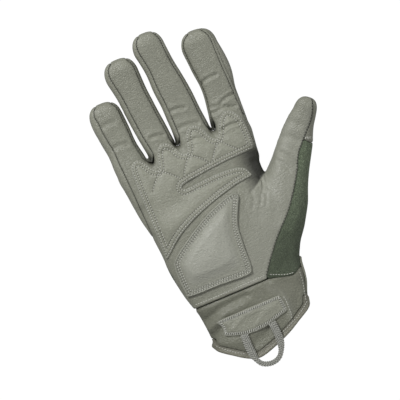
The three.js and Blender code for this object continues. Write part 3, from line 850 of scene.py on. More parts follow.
def make_patch(name, replaced, outline, material, relief, holes, hole_width=0.5, pad=None):
    """A sewn patch with rounded edges, whose needle holes sink into it."""
    sizes = bpy.context.scene.glove_sizes
    skin, inside = overlay_skin(outline)
    ground = palm_relief(skin.points, np.full(len(skin.points), FAR))
    hole = bell(nearest(skin.points, holes), hole_width)
    height = ground + PATCH_SEAT + 0.05 + rounded_edge(inside, sizes.patch - 0.05, 1.1)
    height += relief(skin.points, inside) - 0.3 * hole
    points, faces = skin.closed(height, ground + PATCH_SEAT)
    wear_and_highlight = bell(inside, 0.8)
    if pad is not None:
        wear_and_highlight = np.maximum(0.4 * wear_and_highlight, 0.62 * smoothstep(0.0, 5.0, -plan_distance(skin.points, pad)))
    marks = both_sides({"wear_and_highlight": wear_and_highlight, "seam": hole})
    return placed(mesh_object(name, lifted(points), faces, material, marks), "leather", replaced)


def nearest(points, marks):
    """Distance in plan from each point to the nearest mark."""
    tree = KDTree(len(marks))
    for i, (x, y) in enumerate(marks):
        tree.insert((x, y, 0.0), i)
    tree.balance()
    return np.array([tree.find((x, y, 0.0))[2] for x, y in points[:, :2]])


def row_channel(inside):
    return sum(-0.42 * bell(inside - inset, 0.55) for inset in ROW_INSETS)


def palm_relief(points, edge):
    """Large hollows and small folds of the palm leather."""
    x, y, z = points.T
    hollow = np.zeros(len(points))
    for cx, cy, lean, wide, long, high in PALM_HOLLOWS:
        hollow += high * np.exp(-(((x - cx) / wide) ** 2) - ((y - cy - lean * (x - cx)) / long) ** 2)
    rim = 0.5 * bell(y + 71.3, 0.9) * smoothstep(1, 6, z)
    rim -= 0.35 * bell(path_distance(points, curve(INDEX_EDGE, step=3)), 0.6)
    fold = CROTCH_FOLD * crotch_shade(points) * smoothstep(1.0, 9.0, z)
    return hollow * smoothstep(0, 6, edge) + rim - fold - creases(points)


def crotch_shade(points):
    """How deep a point lies in the folds at the roots of the fingers and the thumb, from 0 to 1."""
    x, y = points[:, 0], points[:, 1]
    line = np.where(x < 29.6, -1.0 + (x - 26.0) * 0.64, 1.3 + (x - 29.6) * 1.54)
    deep = smoothstep(9, 27, x) * smoothstep(-0.8, 0.8, y - line)
    deep *= smoothstep(26, 17, y) * smoothstep(34, 32, x)
    for cx, cy in CROTCHES:
        deep = np.maximum(deep, np.exp(-(((x - cx) / 2.3) ** 2) - ((y - cy) / 5.0) ** 2))
    return deep


def grip_relief(points, inside):
    quilt = np.full(len(points), FAR)
    for leg in QUILT_LEGS:
        quilt = np.minimum(quilt, path_distance(points, curve(leg, step=2)))
    puff = 0.55 * smoothstep(0.2, 4.5, np.minimum(quilt, np.abs(inside - ROW_INSETS[1])))
    return row_channel(inside) - 0.42 * bell(quilt, 0.6) + puff * smoothstep(2.5, 4.5, inside)


def soft_inset(points, outline, softness=1.6):
    """Distance to an outline, rounded where its sides are equally near."""
    gaps = np.linalg.norm(points[:, None, :2] - outline[None], axis=2)
    return 1.5 * softness - softness * np.log(np.exp(-gaps / softness).sum(axis=1))


def heel_relief(points, inside):
    pad = -plan_distance(points, PAD_OUTLINE)
    pad = np.where(pad > 0, soft_inset(points, PAD_OUTLINE), pad) * smoothstep(-1.0, 2.0, pad)
    rise = bpy.context.scene.glove_sizes.heel_pad
    reach = 5.4 + 3.2 * smoothstep(-42, -56, points[:, 1])
    dome = 0.66 * smoothstep(-1.0, reach, pad) + 0.34 * smoothstep(2, 17, pad)
    channel = sum(-0.3 * bell(inside - inset, 0.55) for inset in HEEL_INSETS)
    return channel + 0.35 * bell(inside - 0.7, 0.7) + rise * dome


def cuff_patch_relief(points, inside):
    return folds(points, CUFF_PATCH_FOLDS, step=2) - 0.3 * bell(inside - 1.8, 1.2)


def gusset_relief(points, _edge):
    return folds(points, GUSSET_FOLDS) * smoothstep(-2, 4, points[:, 2])


def cuff_relief(points, _edge=None):
    """Soft folds of the cuff, and its top edge that goes under the palm leather."""
    _, y, z = points.T
    return folds(points, CUFF_FOLDS) * smoothstep(1, 8, z) - 1.1 * smoothstep(-75.5, -72.5, y)


# Stitching


def inner_rows(outline, inset, tolerance=0.12):
    """The rows that run at an inset inside a closed outline."""
    ahead, behind = np.roll(outline, -1, axis=0), np.roll(outline, 1, axis=0)
    along = ahead - behind
    along /= np.maximum(np.linalg.norm(along, axis=1), 1e-9)[:, None]
    side = np.stack((-along[:, 1], along[:, 0]), axis=1)
    beside = outline[:1] + 0.05 * side[:1]
    turn = 1.0 if plan_distance(beside, outline)[0] < 0 else -1.0
    moved = outline + turn * inset * side
    fits = np.abs(plan_distance(moved, outline) + inset) < tolerance
    moved = moved[fits]
    gaps = np.flatnonzero(np.linalg.norm(np.diff(moved, axis=0), axis=1) > 4.0) + 1
    return [piece for piece in np.split(moved, gaps) if len(piece) > 3]


def evenly(path, pitch):
    """Points a pitch apart along a path."""
    path = np.asarray(path, dtype=float)
    lengths = np.concatenate(([0.0], np.cumsum(np.linalg.norm(np.diff(path, axis=0), axis=1))))
    count = max(1, round(lengths[-1] / pitch))
    at = np.linspace(0, lengths[-1], count + 1)
    return np.stack([np.interp(at, lengths, path[:, i]) for i in range(2)], axis=1)


def running(path, pitch, gap=0.3):
    """Start and end of each stitch of a running row."""
    points = evenly(path, pitch)
    step = points[1:] - points[:-1]
    return np.stack((points[:-1] + step * gap / 2, points[1:] - step * gap / 2), axis=1)


def slanted(path, width, pitch):
    """Slanted stitches across a path, as in a dense zigzag."""
    points = evenly(path, pitch)
    along = np.gradient(points, axis=0)
    side = np.stack((-along[:, 1], along[:, 0]), axis=1) / np.linalg.norm(along, axis=1)[:, None]
    reach = side * width / 2 + along * 0.3
    return np.stack((points - reach, points + reach), axis=1)


def capsule(sides=6, rings=5):
    """Unit stitch along X: its points as (along, across, up) and its faces."""
    points = [(-1.0, 0.0, 0.0)]
    for i in range(rings):
        u = -0.86 + 1.72 * i / (rings - 1)
        thick = math.sqrt(max(0.0, 1 - abs(u) ** 3.2))
        for j in range(sides):
            angle = 2 * math.pi * j / sides
            points.append((u, thick * math.cos(angle), thick * math.sin(angle)))
    points.append((1.0, 0.0, 0.0))
    last = len(points) - 1
    faces = []
    for j in range(sides):
        k = (j + 1) % sides
        faces.append((0, 1 + k, 1 + j))
        faces.append((last, last - sides + j, last - sides + k))
        for i in range(rings - 1):
            a, b = 1 + i * sides + j, 1 + i * sides + k
            faces.extend(((a, b, b + sides), (a, b + sides, a + sides)))
    return np.array(points), np.array(faces)


def surface_tree(objects):
    points, faces = [], []
    for made in objects:
        start = len(points)
        points.extend(v.co for v in made.data.vertices)
        faces.extend(tuple(i + start for i in p.vertices) for p in made.data.polygons)
    return BVHTree.FromPolygons(points, faces)


def make_stitches(name, spans, objects, material, radius, sunk=0.3):
    """One mesh of all the stitches that span the given plan segments on top of the objects."""
    tree = surface_tree(objects)
    template, faces = capsule()
    shapes, kept = [], 0
    for start, end in spans:
        hits = []
        for x, y in (start, (start + end) / 2, end):
            above = Vector(((x - ORIGIN[0]) * MM, (y - ORIGIN[1]) * MM, 0.08))
            hits.append(tree.ray_cast(above, Vector((0, 0, -1))))
        if any(hit[0] is None for hit in hits):
            continue
        first, middle, last = (np.array(hit[0]) for hit in hits)
        along = last - first
        length = np.linalg.norm(along)
        if length < 1e-5 or abs(along[2]) > 0.75 * length:
            continue
        along /= length
        normal = np.array(hits[1][1])
        normal -= along * (normal @ along)
        normal /= np.linalg.norm(normal)
        side = np.cross(normal, along)
        centre = (first + 2 * middle + last) / 4 + normal * radius * (1.0 - 2 * sunk)
        bow = normal * radius * 0.5
        u = template[:, :1]
        shape = centre + along * u * length / 2 + side * template[:, 1:2] * radius
        shape += normal * template[:, 2:3] * radius - bow * u**2
        shapes.append(shape)
        kept += 1
    points = np.vstack(shapes)
    all_faces = (faces[None] + len(template) * np.arange(kept)[:, None, None]).reshape(-1, 3)
    return placed(mesh_object(name, points, all_faces, material, smooth_angle=80.0), "thread")


# Materials


class Value:
    """A shader socket that takes part in plain arithmetic."""

    def __init__(self, graph, socket):
        self.graph, self.socket = graph, socket

    def _maths(self, operation, *others):
        inputs = {i: other for i, other in enumerate(others)}
        return self.graph.node("ShaderNodeMath", {"operation": operation}, inputs).out()

    def __add__(self, other):
        return self._maths("ADD", self, other)

    __radd__ = __add__

    def __mul__(self, other):
        return self._maths("MULTIPLY", self, other)

    __rmul__ = __mul__

    def __sub__(self, other):
        return self._maths("SUBTRACT", self, other)

    def __rsub__(self, other):
        return self._maths("SUBTRACT", other, self)


class Node:
    def __init__(self, graph, node):
        self.graph, self.node = graph, node

    def out(self, name=0):
        return Value(self.graph, self.node.outputs[name])


class Graph:
    """The node tree of one material."""

    def __init__(self, name):
        self.material = bpy.data.materials.new(name)
        self.material.use_nodes = True
        self.tree = self.material.node_tree
        self.tree.nodes.clear()

    def node(self, kind, settings=None, inputs=None):
        made = self.tree.nodes.new(kind)
        for key, value in (settings or {}).items():
            setattr(made, key, value)
        for key, value in (inputs or {}).items():
            if isinstance(value, Value):
                self.tree.links.new(value.socket, made.inputs[key])
            else:
                made.inputs[key].default_value = value
        return Node(self, made)

    def position(self, scale=(1.0, 1.0, 1.0)):
        place = self.node("ShaderNodeTexCoord").out("Object")
        return self.node("ShaderNodeVectorMath", {"operation": "MULTIPLY"}, {0: place, 1: scale}).out()

    def noise(self, place, scale, detail=3.0, roughness=0.55):
        inputs = {"Vector": place, "Scale": scale, "Detail": detail, "Roughness": roughness}
        return self.node("ShaderNodeTexNoise", None, inputs).out("Fac")

    def cells(self, place, scale):
        """Distance to the edges of random cells."""
        inputs = {"Vector": place, "Scale": scale}
        return self.node("ShaderNodeTexVoronoi", {"feature": "DISTANCE_TO_EDGE"}, inputs).out("Distance")

    def attribute(self, name):
        return self.node("ShaderNodeAttribute", {"attribute_name": name}).out("Fac")

    def span(self, value, low, high, to_low=0.0, to_high=1.0):
        inputs = {"Value": value, "From Min": low, "From Max": high, "To Min": to_low, "To Max": to_high}
        return self.node("ShaderNodeMapRange", None, inputs).out()

    def mix(self, factor, first, second):
        inputs = {"Factor": factor, 6: first, 7: second}
        return self.node("ShaderNodeMix", {"data_type": "RGBA"}, inputs).out(2)

    def bump(self, height, strength, distance):
        inputs = {"Height": height, "Strength": strength, "Distance": distance}
        return self.node("ShaderNodeBump", None, inputs).out("Normal")

    def finish(self, colour, roughness, normal, fixed=None):
        inputs = {"Base Color": colour, "Roughness": roughness, "Normal": normal, **(fixed or {})}
        shader = self.node("ShaderNodeBsdfPrincipled", None, inputs).out("BSDF")
        self.node("ShaderNodeOutputMaterial", None, {"Surface": shader})
        return self.material


def tone(colour, factor):
    return tuple(min(1.0, c * factor) for c in colour[:3]) + (1.0,)


def leather_material(name, colour, light=1.0):
    graph = Graph(name)
    place = graph.position()
    base = tone(colour, light)
    broad = graph.span(graph.noise(place, 40.0), 0.3, 0.7)
    streaks = graph.position((0.45, 1.0, 1.0))
    fine = graph.span(graph.noise(streaks, 1000.0, 2.0), 0.3, 0.7)
    pores = graph.span(graph.cells(place, 760.0), 0.0, 0.3)
    shade = graph.mix(broad, tone(base, 0.94), tone(base, 1.06))
    shade = graph.mix((1.0 - fine) * 0.4, shade, tone(base, 0.72))
    shade = graph.mix((1.0 - pores) * 0.3, shade, tone(base, 0.6))
    shade = graph.mix(graph.span(graph.noise(place, 900.0, 1.0), 0.5, 0.72) * 0.3, shade, tone(base, 1.5))
    shade = graph.mix(graph.attribute("seam") * 0.85, shade, tone(base, 0.22))
    # Lighter along the patches' edges and over the heel pad, and where highlights and light are painted.
    wear_and_highlight_colour = tuple(c + 0.14 for c in base[:3]) + (1.0,)
    shade = graph.mix(graph.attribute("wear_and_highlight") * 0.6, shade, wear_and_highlight_colour)
    shade = graph.mix(graph.attribute("shade"), shade, tone(base, 0.1))
    roughness = graph.span(fine + broad, 0.4, 1.6, 0.34, 0.5)
    pebbles = graph.noise(streaks, 900.0, 2.0)
    height = pores * 0.4 + fine * 0.3 + pebbles * 1.8
    return graph.finish(shade, roughness, graph.bump(height, 1.0, 0.00026), {"Specular IOR Level": 0.5})


def cloth_material(name, colour):
    graph = Graph(name)
    place = graph.position()
    fuzz = graph.span(graph.noise(place, 900.0, 3.0, 0.75), 0.38, 0.62)
    loops = graph.span(graph.cells(graph.position((1.0, 0.55, 1.0)), 1250.0), 0.0, 0.4)
    patchy = graph.span(graph.noise(place, 260.0, 4.0, 0.7), 0.35, 0.65)
    shade = graph.mix(patchy, tone(colour, 0.7), tone(colour, 1.3))
    shade = graph.mix((1.0 - loops) * 0.5, shade, tone(colour, 0.55))
    shade = graph.mix(fuzz, tone(colour, 0.68), shade)
    shade = graph.mix(graph.span(fuzz, 0.5, 1.0) * 0.4, shade, tone(colour, 1.7))
    shade = graph.mix(graph.attribute("shade") * 0.8, shade, tone(colour, 0.35))
    shade = graph.mix(graph.attribute("seam") * 0.8, shade, tone(colour, 0.3))
    height = loops * 0.6 + fuzz * 1.4 + patchy * 1.2
    normal = graph.bump(height, 0.9, 0.0007)
    fixed = {"Sheen Weight": 0.12, "Sheen Roughness": 0.6, "Specular IOR Level": 0.15}
    return graph.finish(shade, graph.span(fuzz, 0.0, 1.0, 0.88, 0.98), normal, fixed)


def thread_material(name, colour):
    graph = Graph(name)
    place = graph.position()
    twist = graph.span(graph.noise(place, 2200.0, 1.0), 0.35, 0.65)
    shade = graph.mix(twist, tone(colour, 0.8), tone(colour, 1.15))
    roughness = graph.span(twist, 0.0, 1.0, 0.6, 0.75)
    return graph.finish(shade, roughness, graph.bump(twist, 0.4, 0.0002))


def webbing_material(name, colour):
    graph = Graph(name)
    place = graph.position()
    weave = graph.span(graph.cells(place, 1700.0), 0.0, 0.35)
    fuzz = graph.span(graph.noise(place, 1300.0, 3.0), 0.35, 0.65)
    shade = graph.mix(weave, tone(colour, 0.62), tone(colour, 1.1))
    shade = graph.mix(fuzz * 0.3, shade, tone(colour, 1.3))
    # Painted shade in the troughs of the weave, carried by the seam attribute.
    shade = graph.mix(graph.attribute("seam") * 0.7, shade, tone(colour, 0.25))
    roughness = graph.span(fuzz, 0.0, 1.0, 0.78, 0.9)
    return graph.finish(shade, roughness, graph.bump(weave + fuzz, 0.6, 0.00025))


# Properties, operators and panel


def length_property(name, description, default):
    return bpy.props.FloatProperty(name=name, description=description, default=default, min=0.01)


def colour_property(name, description, default):
    return bpy.props.FloatVectorProperty(
        name=name, description=description, default=default, size=3, subtype="COLOR", min=0.0, max=1.0
    )


class GloveSizes(bpy.types.PropertyGroup):
    mesh_step: length_property("Mesh step", "Spacing of the fine surface, in millimetres", 0.95)
    leather: length_property("Leather", "Thickness of a panel, in millimetres", 1.2)
    patch: length_property("Patch", "Thickness of a patch, in millimetres", 1.25)
    seam_gap: length_property("Seam gap", "Gap between two panels, in millimetres", 0.3)
    heel_pad: length_property("Heel pad", "Rise of the heel pad, in millimetres", 3.6)
    thread: length_property("Thread", "Radius of the sewing thread, in millimetres", 0.36)
    stitch: length_property("Stitch", "Length of a running stitch, in millimetres", 2.0)


class GloveColours(bpy.types.PropertyGroup):
    leather: colour_property("Leather", "Sage grey leather", (0.266, 0.271, 0.218))
    cloth: colour_property("Cloth", "Dark green cloth", (0.246, 0.307, 0.198))
    cuff: colour_property("Cuff", "Leather of the cuff", (0.204, 0.208, 0.160))
    heel: colour_property("Heel", "Pale leather of the heel patch", (0.310, 0.316, 0.262))
    edge: colour_property("Edge", "Light folded leather edge", (0.256, 0.251, 0.195))
    thread: colour_property("Thread", "Sewing thread", (0.55, 0.555, 0.50))
    dark_thread: colour_property("Dark thread", "Thread of the finger and thumb seams", (0.03, 0.033, 0.028))
    webbing: colour_property("Webbing", "Pull loop webbing", (0.46, 0.465, 0.42))
    floor: colour_property("Floor", "Studio floor", (0.95, 0.95, 0.95))


# Leather of the panels: material, how light it is. The finger backs use a darker copy as painted shade, and
# the side strips and fourchettes a lighter copy as painted light
LEATHERS = {
    "palm": ("sage_leather", 1.0),
    "back": ("sage_leather_painted_shade", 0.86),
    "side": ("sage_leather_painted_light", 1.12),
}
# Leather panels: name, leather, how deep the seams round it are
LEATHER_PANELS = (
    ("palm_front", "palm", 1.0),
    ("side_strip_index", "palm", 0.15),
    ("thumb_tip_cap", "palm", 1.0),
    ("side_strip_little", "side", 1.0),
    ("fourchette_little_ring", "side", 1.0),
    ("fourchette_ring_middle", "side", 1.0),
    ("fourchette_middle_index", "side", 1.0),
    ("finger_back_little", "back", 1.0),
    ("finger_back_ring", "back", 1.0),
    ("finger_back_middle", "back", 1.0),
    ("finger_back_index", "palm", 0.15),
)
CLOTH_PANELS = (("hand_back", None), ("thumb_gusset", gusset_relief))


class GLOVE_OT_leather(bpy.types.Operator):
    """Build the leather panels of the palm and the fingers"""

    bl_idname = "glove.leather"
    bl_label = "Leather panels"

    def execute(self, context):
        colour = context.scene.glove_colours.leather
        leathers = {key: leather_material(name, colour, light) for key, (name, light) in LEATHERS.items()}
        for name, leather, seam in LEATHER_PANELS:
            relief = palm_relief if name == "palm_front" else None
            make_panel(name, leathers[leather], "leather", relief, seam)
        return {"FINISHED"}


class GLOVE_OT_lining(bpy.types.Operator):
    """Build the thin lining that closes the glove's seams from inside"""

    bl_idname = "glove.lining"
    bl_label = "Lining"

    def execute(self, context):
        depth = context.scene.glove_sizes.leather + 0.4
        skin = surface_skin(Grid(LINING_STEP, depth))
        skin, value = skin.cut(plan_distance(skin.points, INSIDE_HEM) + HEM_BAND)
        sunk = np.minimum(palm_relief(skin.points, value), 0.0) + np.minimum(cuff_relief(skin.points), 0.0)
        points, faces = skin.closed(sunk, sunk - LINING_THICKNESS)
        material = cloth_material("lining_cloth", context.scene.glove_colours.cloth)
        zeros = np.zeros(len(points))
        made = mesh_object("glove_lining", lifted(points), faces, material, {"seam": zeros, "shade": zeros})
        placed(made, "cloth")
        return {"FINISHED"}


class GLOVE_OT_cloth(bpy.types.Operator):
    """Build the green cloth of the back and of the thumb gusset"""

    bl_idname = "glove.cloth"
    bl_label = "Cloth panels"

    def execute(self, context):
        material = cloth_material("green_cloth", context.scene.glove_colours.cloth)
        for name, relief in CLOTH_PANELS:
            make_panel(name, material, "cloth", relief)
        return {"FINISHED"}


def make_hem(material):
    """The leather rolled over the edge of the cuff."""
    outside = plan_distance(whole().points, INSIDE_HEM)
    gap = bpy.context.scene.glove_sizes.seam_gap
    skin, value = whole().cut(np.maximum(outside, -outside - HEM_BAND + gap))
    across = 1.0 + plan_distance(skin.points, INSIDE_HEM) / HEM_BAND
    roll = smoothstep(0.45, 0.7, across) * np.sqrt(1.0 - np.clip((across - 0.65) / 0.38, 0, 1) ** 2)
    height = 0.3 * smoothstep(0.0, 0.4, across) * (across < 0.9) + 0.75 * roll
    height += 2.4 * bell(path_distance(skin.points, HEM_CORNER), 2.3) * smoothstep(0.2, 0.6, across)
    points, faces = skin.closed(height, -1.0 - 0.6 * roll)
    marks = both_sides({"seam": 0.3 * bell(value, 0.4), "shade": 0.28 * smoothstep(0.66, 0.5, across)})
    made = mesh_object("cuff_hem_roll", lifted(points), faces, material, marks)
    return placed(made, "binding", "cuff_hem")


def make_tab(material):
    """The closure tab, which flattens out towards the hem."""
    thickness = bpy.context.scene.glove_sizes.patch
    value = np.maximum(plan_distance(whole().points, CLOSURE), whole().points[:, 2] - CLOSURE_TOP)
    skin, value = whole().cut(value)
    height = PATCH_SEAT + rounded_edge(-value, thickness, 1.0)
    height -= thickness * smoothstep(-84, -96, skin.points[:, 1])
    points, faces = skin.closed(height, PATCH_SEAT - 0.05)
    marks = both_sides({"seam": 0.4 * bell(value, 0.4)})
    made = mesh_object("closure_tab_strip", lifted(points), faces, material, marks)
    return placed(made, "leather", "closure_tab")


class GLOVE_OT_cuff(bpy.types.Operator):
    """Build the cuff, its rolled hem and the closure tab"""

    bl_idname = "glove.cuff"
    bl_label = "Cuff"

    def execute(self, context):
        colours = context.scene.glove_colours
        leather = leather_material("cuff_leather", colours.cuff)
        make_panel("wrist_cuff", leather, "leather", cuff_relief, 0.5)
        make_hem(leather_material("edge_leather", colours.edge))
        make_tab(leather_material("tab_leather", colours.cuff, 1.4))
        return {"FINISHED"}


class GLOVE_OT_patches(bpy.types.Operator):
    """Build the grip patch, the heel patch and the cuff patch"""

    bl_idname = "glove.patches"
    bl_label = "Patches"

    def execute(self, context):
        colours = context.scene.glove_colours
        pitch = context.scene.glove_sizes.stitch
        material = leather_material("patch_leather", colours.leather, 1.12)
        holes = needle_holes(grip_rows(), pitch)
        make_patch("grip_patch_quilted", "grip_patch", GRIP_OUTLINE, material, grip_relief, holes)
        pale = leather_material("heel_leather", colours.heel)
        holes = needle_holes(heel_rows(), pitch)
        heel = make_patch(
            "heel_patch_padded", "heel_patch", HEEL_OUTLINE, pale, heel_relief, holes, pad=PAD_OUTLINE
        )
        holes = needle_holes([curve(path, step=1) for path, _ in CUFF_BANDS], CUFF_NEEDLE_PITCH)
        make_patch(
            "cuff_patch_sewn", "cuff_patch", CUFF_PATCH_OUTLINE, material, cuff_patch_relief, holes, 1.0
        )
        return {"FINISHED"}


def needle_holes(rows, pitch):
    return np.vstack([evenly(row, pitch) for row in rows])


@functools.cache
def grip_rows():
    rows = [row for inset in ROW_INSETS for row in inner_rows(GRIP_OUTLINE, inset)]
    return rows + [curve(leg, step=1) for leg in QUILT_LEGS]


@functools.cache
def heel_rows():
    return [row for inset in HEEL_INSETS for row in inner_rows(HEEL_OUTLINE, inset)]


LOOP_PATH = (
    (-32.3, -103.5), (-32.7, -112), (-32.3, -118.3), (-31.2, -124.3), (-28, -129.3), (-21.5, -131.5),
    (-15.2, -129.9), (-11.2, -125), (-9.4, -119), (-9, -112), (-9.6, -103.5),
)
LOOP_WIDTH = 5.8
LOOP_BEND_WIDTH = 3.8
LOOP_THICKNESS = 1.7
WEAVE_PITCH = 1.8


def loop_section(count=48):
    """Across and up round a flat webbing of unit width and thickness."""
    angle = np.linspace(0, 2 * math.pi, count, endpoint=False)
    across = np.sign(np.cos(angle)) * np.abs(np.cos(angle)) ** 0.8
    up = np.sign(np.sin(angle)) * np.abs(np.sin(angle)) ** 0.6
    return across / 2, up / 2


def loop_rings():
    """Rings of points along the webbing, and how much shade is painted at each point in the troughs of its
    weave.
    """
    path = curve(LOOP_PATH, step=0.3)
    along = np.gradient(path, axis=0)
    along /= np.linalg.norm(along, axis=1)[:, None]
    side = np.stack((along[:, 1], -along[:, 0]), axis=1)
    seat_y = np.clip(path[:, 1], -120, None)
    left, right, up = (hermite(seat_y, HAND, column) for column in (1, 2, 3))
    across = np.abs((path[:, 0] - (left + right) / 2) / ((right - left) / 2))
    low = up * (1 - across**HAND_SQUARENESS) ** (1 / HAND_SQUARENESS) + 1.05
    low -= 0.5 * smoothstep(-106.5, -103.5, path[:, 1])
    width = LOOP_WIDTH + (LOOP_BEND_WIDTH - LOOP_WIDTH) * smoothstep(-118, -127, path[:, 1])
    section_across, section_up = loop_section()
    travel = np.concatenate(([0.0], np.cumsum(np.linalg.norm(np.diff(path, axis=0), axis=1))))
    rings, trough_shade = [], []
    for point, out, wide, height, gone in zip(path, side, width, low, travel):
        twill = np.cos(2 * math.pi * (gone + 0.9 * np.abs(section_across) * wide) / WEAVE_PITCH)
        flat = point + np.outer(section_across * (wide + 0.35 * twill), out)
        rise = height + LOOP_THICKNESS * (0.5 + section_up) + 0.3 * twill * np.sign(section_up)
        rings.append(np.column_stack((flat, rise)))
        trough_shade.append(smoothstep(0.3, -0.9, twill))
    return np.array(rings), np.concatenate(trough_shade)


class GLOVE_OT_pull_loop(bpy.types.Operator):
    """Build the webbing pull loop over the cuff"""

    bl_idname = "glove.pull_loop"
    bl_label = "Pull loop"

    def execute(self, context):
        material = webbing_material("grey_webbing", context.scene.glove_colours.webbing)
        rings, trough_shade = loop_rings()
        count = rings.shape[1]
        points = rings.reshape(-1, 3)
        ring = np.arange(count)
        turn = (ring + 1) % count
        starts = np.arange(len(rings) - 1)[:, None] * count
        corners = (starts + ring, starts + turn, starts + turn + count, starts + ring + count)
        quads = np.stack(corners, axis=2).reshape(-1, 4)
        cap = np.stack((np.zeros(count - 2, dtype=int), ring[1:-1], ring[2:]), axis=1)
        last = len(points) - count
        faces = np.vstack((quads[:, (0, 1, 2)], quads[:, (0, 2, 3)], cap[:, ::-1], cap + last))
        # The seam attribute carries the painted shade of the weave's troughs.
        made = mesh_object("pull_loop_webbing", lifted(points), faces, material, {"seam": trough_shade}, 80.0)
        placed(made, "webbing", "pull_loop")
        return {"FINISHED"}


EDGE_CARRIERS = (
    "palm_front_skin", "wrist_cuff_skin", "thumb_gusset_skin", "thumb_tip_cap_skin", "cuff_hem_roll",
)
THUMB_CAP_ROW = ((66.2, 13.6), (69, 12.4), (71.8, 11.6))
# Zigzag rows of the cuff patch: path, width
CUFF_BANDS = (
    (((-45.8, -88.6), (2, -88.6)), 2.2),
    (((2.4, -89.4), (3.2, -97.6)), 2.4),
    (
        (
            (3.0, -98.8), (-5, -100.8), (-12, -102.6), (-20, -103.6), (-29, -103.2), (-38, -100.8),
            (-44.6, -98),
        ),
        2.6,
    ),
    (((-44.8, -90), (-43.6, -94), (-44.2, -97)), 2.2),
)
EDGE_ROWS = (
    ((-57.5, -69.6), (-40, -69.9), (-20, -69.7), (-1, -69.4)),
    ((2.6, -70.2), (8.5, -72.8), (14.7, -75.2), (20, -75.9)),
    ((5.9, -89), (6.4, -94), (6.3, -99), (5.6, -105), (4.6, -109)),
    ((24.2, -77), (23.6, -84), (22.0, -91), (20.2, -99)),
    ((-55.2, -104.3), (-49.8, -108.9), (-43.9, -113.5), (-37.2, -117.6)),
    ((21, -99.5), (15, -104), (8, -108), (0, -111.6), (-5, -113.4)),
)


class GLOVE_OT_stitching(bpy.types.Operator):
    """Sew the double rows, the quilting and the zigzag rows"""

    bl_idname = "glove.stitching"
    bl_label = "Stitching"

    def execute(self, context):
        sizes = context.scene.glove_sizes
        material = thread_material("pale_thread", context.scene.glove_colours.thread)
        objects = bpy.data.objects
        pitch = sizes.stitch
        radius = sizes.thread * MM
        spans = [running(row, pitch) for row in grip_rows()]
        make_stitches("grip_stitching", np.vstack(spans), [objects["grip_patch_quilted"]], material, radius)
        spans = [running(row, pitch) for row in heel_rows()]
        make_stitches("heel_stitching", np.vstack(spans), [objects["heel_patch_padded"]], material, radius)
        band = [slanted(curve(path, step=1), width, 1.5) for path, width in CUFF_BANDS]
        make_stitches("cuff_stitching", np.vstack(band), [objects["cuff_patch_sewn"]], material, radius)
        rows = [running(curve(path, step=1), pitch) for path in EDGE_ROWS]
        rows.append(slanted(curve(THUMB_CAP_ROW, step=1), 2.4, 1.3))
        carriers = [objects[name] for name in EDGE_CARRIERS]
        make_stitches("edge_stitching", np.vstack(rows), carriers, material, radius * 0.9)
        dark = thread_material("dark_thread", context.scene.glove_colours.dark_thread)
        carriers = [made for made in objects if made.name.endswith("_skin")]
        seams = [finger_seam(name, side, 50.0)[0] for name in FINGERS for side in ("left", "right")]
        seams = seams[:-1] + [INDEX_SEAM, INDEX_EDGE]
        rows = [running(curve(seam, step=1), pitch, 0.45) for seam in seams]
        make_stitches("finger_seam_stitching", np.vstack(rows), carriers, dark, radius * 0.5)
        rows = running(curve(THUMB_SEAM + (-0.6, 0.45), step=1), pitch * 1.1, 0.4)
        make_stitches("thumb_seam_stitching", rows, carriers, dark, radius * 0.6)
        return {"FINISHED"}


CAMERA_SENSOR = 36.0
CAMERA_DISTANCE = 2.4
PHOTO_PIXELS = 400
PIXEL = 0.75 * MM  # real size of a pixel at the seam plane
CAMERA_ROLL = math.radians(23.0)  # the fingers lean this far left of the picture's upright
CAMERA_AIM = ((-23.4 - ORIGIN[0]) * MM, (1.2 - ORIGIN[1]) * MM)
# Lights: name, place, size in metres, power
STUDIO_LIGHTS = (
    ("key_light", (-0.5, 1.0, 1.05), 0.45, 17.5),
    ("fill_light", (0.2, -1.0, 1.3), 1.2, 3.0),
    ("side_light", (1.2, 0.1, 0.45), 0.8, 3.6),
)
WORLD_LIGHT = 0.28


def place_floor(colour):
    graph = Graph("studio_floor")
    matt = graph.node("ShaderNodeBsdfDiffuse", None, {"Color": tone(colour, 0.04)}).out("BSDF")
    lit = {"Color": tone(colour, 1.0), "Strength": 1.05}
    glow = graph.node("ShaderNodeEmission", None, lit).out("Emission")
    shader = graph.node("ShaderNodeAddShader", None, {0: matt, 1: glow}).out()
    graph.node("ShaderNodeOutputMaterial", None, {"Surface": shader})
    span = 3.0
    corners = np.array(((-span, -span, 0), (span, -span, 0), (span, span, 0), (-span, span, 0)))
    floor = mesh_object("studio_floor", corners, np.array(((0, 1, 2, 3),)), graph.material)
    floor.visible_diffuse = False
    floor.visible_glossy = False


def place_lights(scene):
    world = bpy.data.worlds.new("studio_light")
    world.use_nodes = True
    world.node_tree.nodes["Background"].inputs["Color"].default_value = (1.0, 1.0, 1.0, 1.0)
    world.node_tree.nodes["Background"].inputs["Strength"].default_value = WORLD_LIGHT
    scene.world = world
    for name, place, size, power in STUDIO_LIGHTS:
        light = bpy.data.lights.new(name, "AREA")
        light.size, light.energy = size, power
        lamp = bpy.data.objects.new(name, light)
        lamp.location = place
        lamp.rotation_euler = (-Vector(place)).to_track_quat("-Z", "Y").to_euler()
        scene.collection.objects.link(lamp)


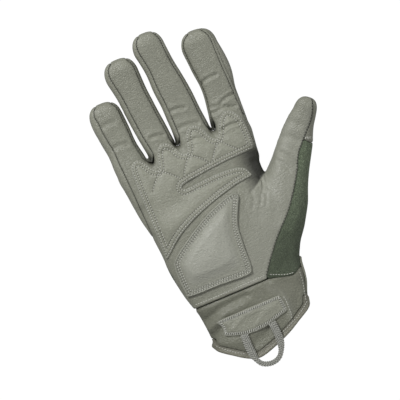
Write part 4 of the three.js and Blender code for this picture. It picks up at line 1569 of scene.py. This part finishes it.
def place_camera(scene):
    """The camera looks straight down at the palm, as in the photo."""
    camera = bpy.data.cameras.new("palm_camera")
    camera.lens = CAMERA_SENSOR * CAMERA_DISTANCE / (PHOTO_PIXELS * PIXEL)
    camera.sensor_width = CAMERA_SENSOR
    camera.clip_end = 10.0
    eye = bpy.data.objects.new("palm_camera", camera)
    eye.location = (CAMERA_AIM[0], CAMERA_AIM[1], CAMERA_DISTANCE + FLOOR_DEPTH * MM)
    eye.rotation_euler = (0.0, 0.0, -CAMERA_ROLL)
    scene.collection.objects.link(eye)
    scene.camera = eye


class GLOVE_OT_stage(bpy.types.Operator):
    """Set the pale floor, the soft lights and the camera over the palm"""

    bl_idname = "glove.stage"
    bl_label = "Stage"

    def execute(self, context):
        place_floor(context.scene.glove_colours.floor)
        place_lights(context.scene)
        place_camera(context.scene)
        context.scene.view_settings.view_transform = "Standard"
        return {"FINISHED"}


class GLOVE_PT_panel(bpy.types.Panel):
    bl_idname = "GLOVE_PT_panel"
    bl_label = "Tactical glove"
    bl_space_type = "VIEW_3D"
    bl_region_type = "UI"
    bl_category = "Glove"

    def draw(self, context):
        layout = self.layout
        for operator in OPERATORS:
            layout.operator(operator.bl_idname)
        for group in (context.scene.glove_sizes, context.scene.glove_colours):
            for key in group.__annotations__:
                layout.prop(group, key)


OPERATORS = (
    GLOVE_OT_stage, GLOVE_OT_lining, GLOVE_OT_leather, GLOVE_OT_cloth, GLOVE_OT_cuff, GLOVE_OT_patches,
    GLOVE_OT_pull_loop, GLOVE_OT_stitching,
)
CLASSES = (GloveSizes, GloveColours) + OPERATORS + (GLOVE_PT_panel,)


def register():
    for kind in CLASSES:
        bpy.utils.register_class(kind)
    bpy.types.Scene.glove_sizes = bpy.props.PointerProperty(type=GloveSizes)
    bpy.types.Scene.glove_colours = bpy.props.PointerProperty(type=GloveColours)


def unregister():
    del bpy.types.Scene.glove_colours
    del bpy.types.Scene.glove_sizes
    for kind in reversed(CLASSES):
        bpy.utils.unregister_class(kind)


def main():
    register()
    for operator in OPERATORS:
        group, name = operator.bl_idname.split(".")
        getattr(getattr(bpy.ops, group), name)()


if __name__ == "__main__":
    main()
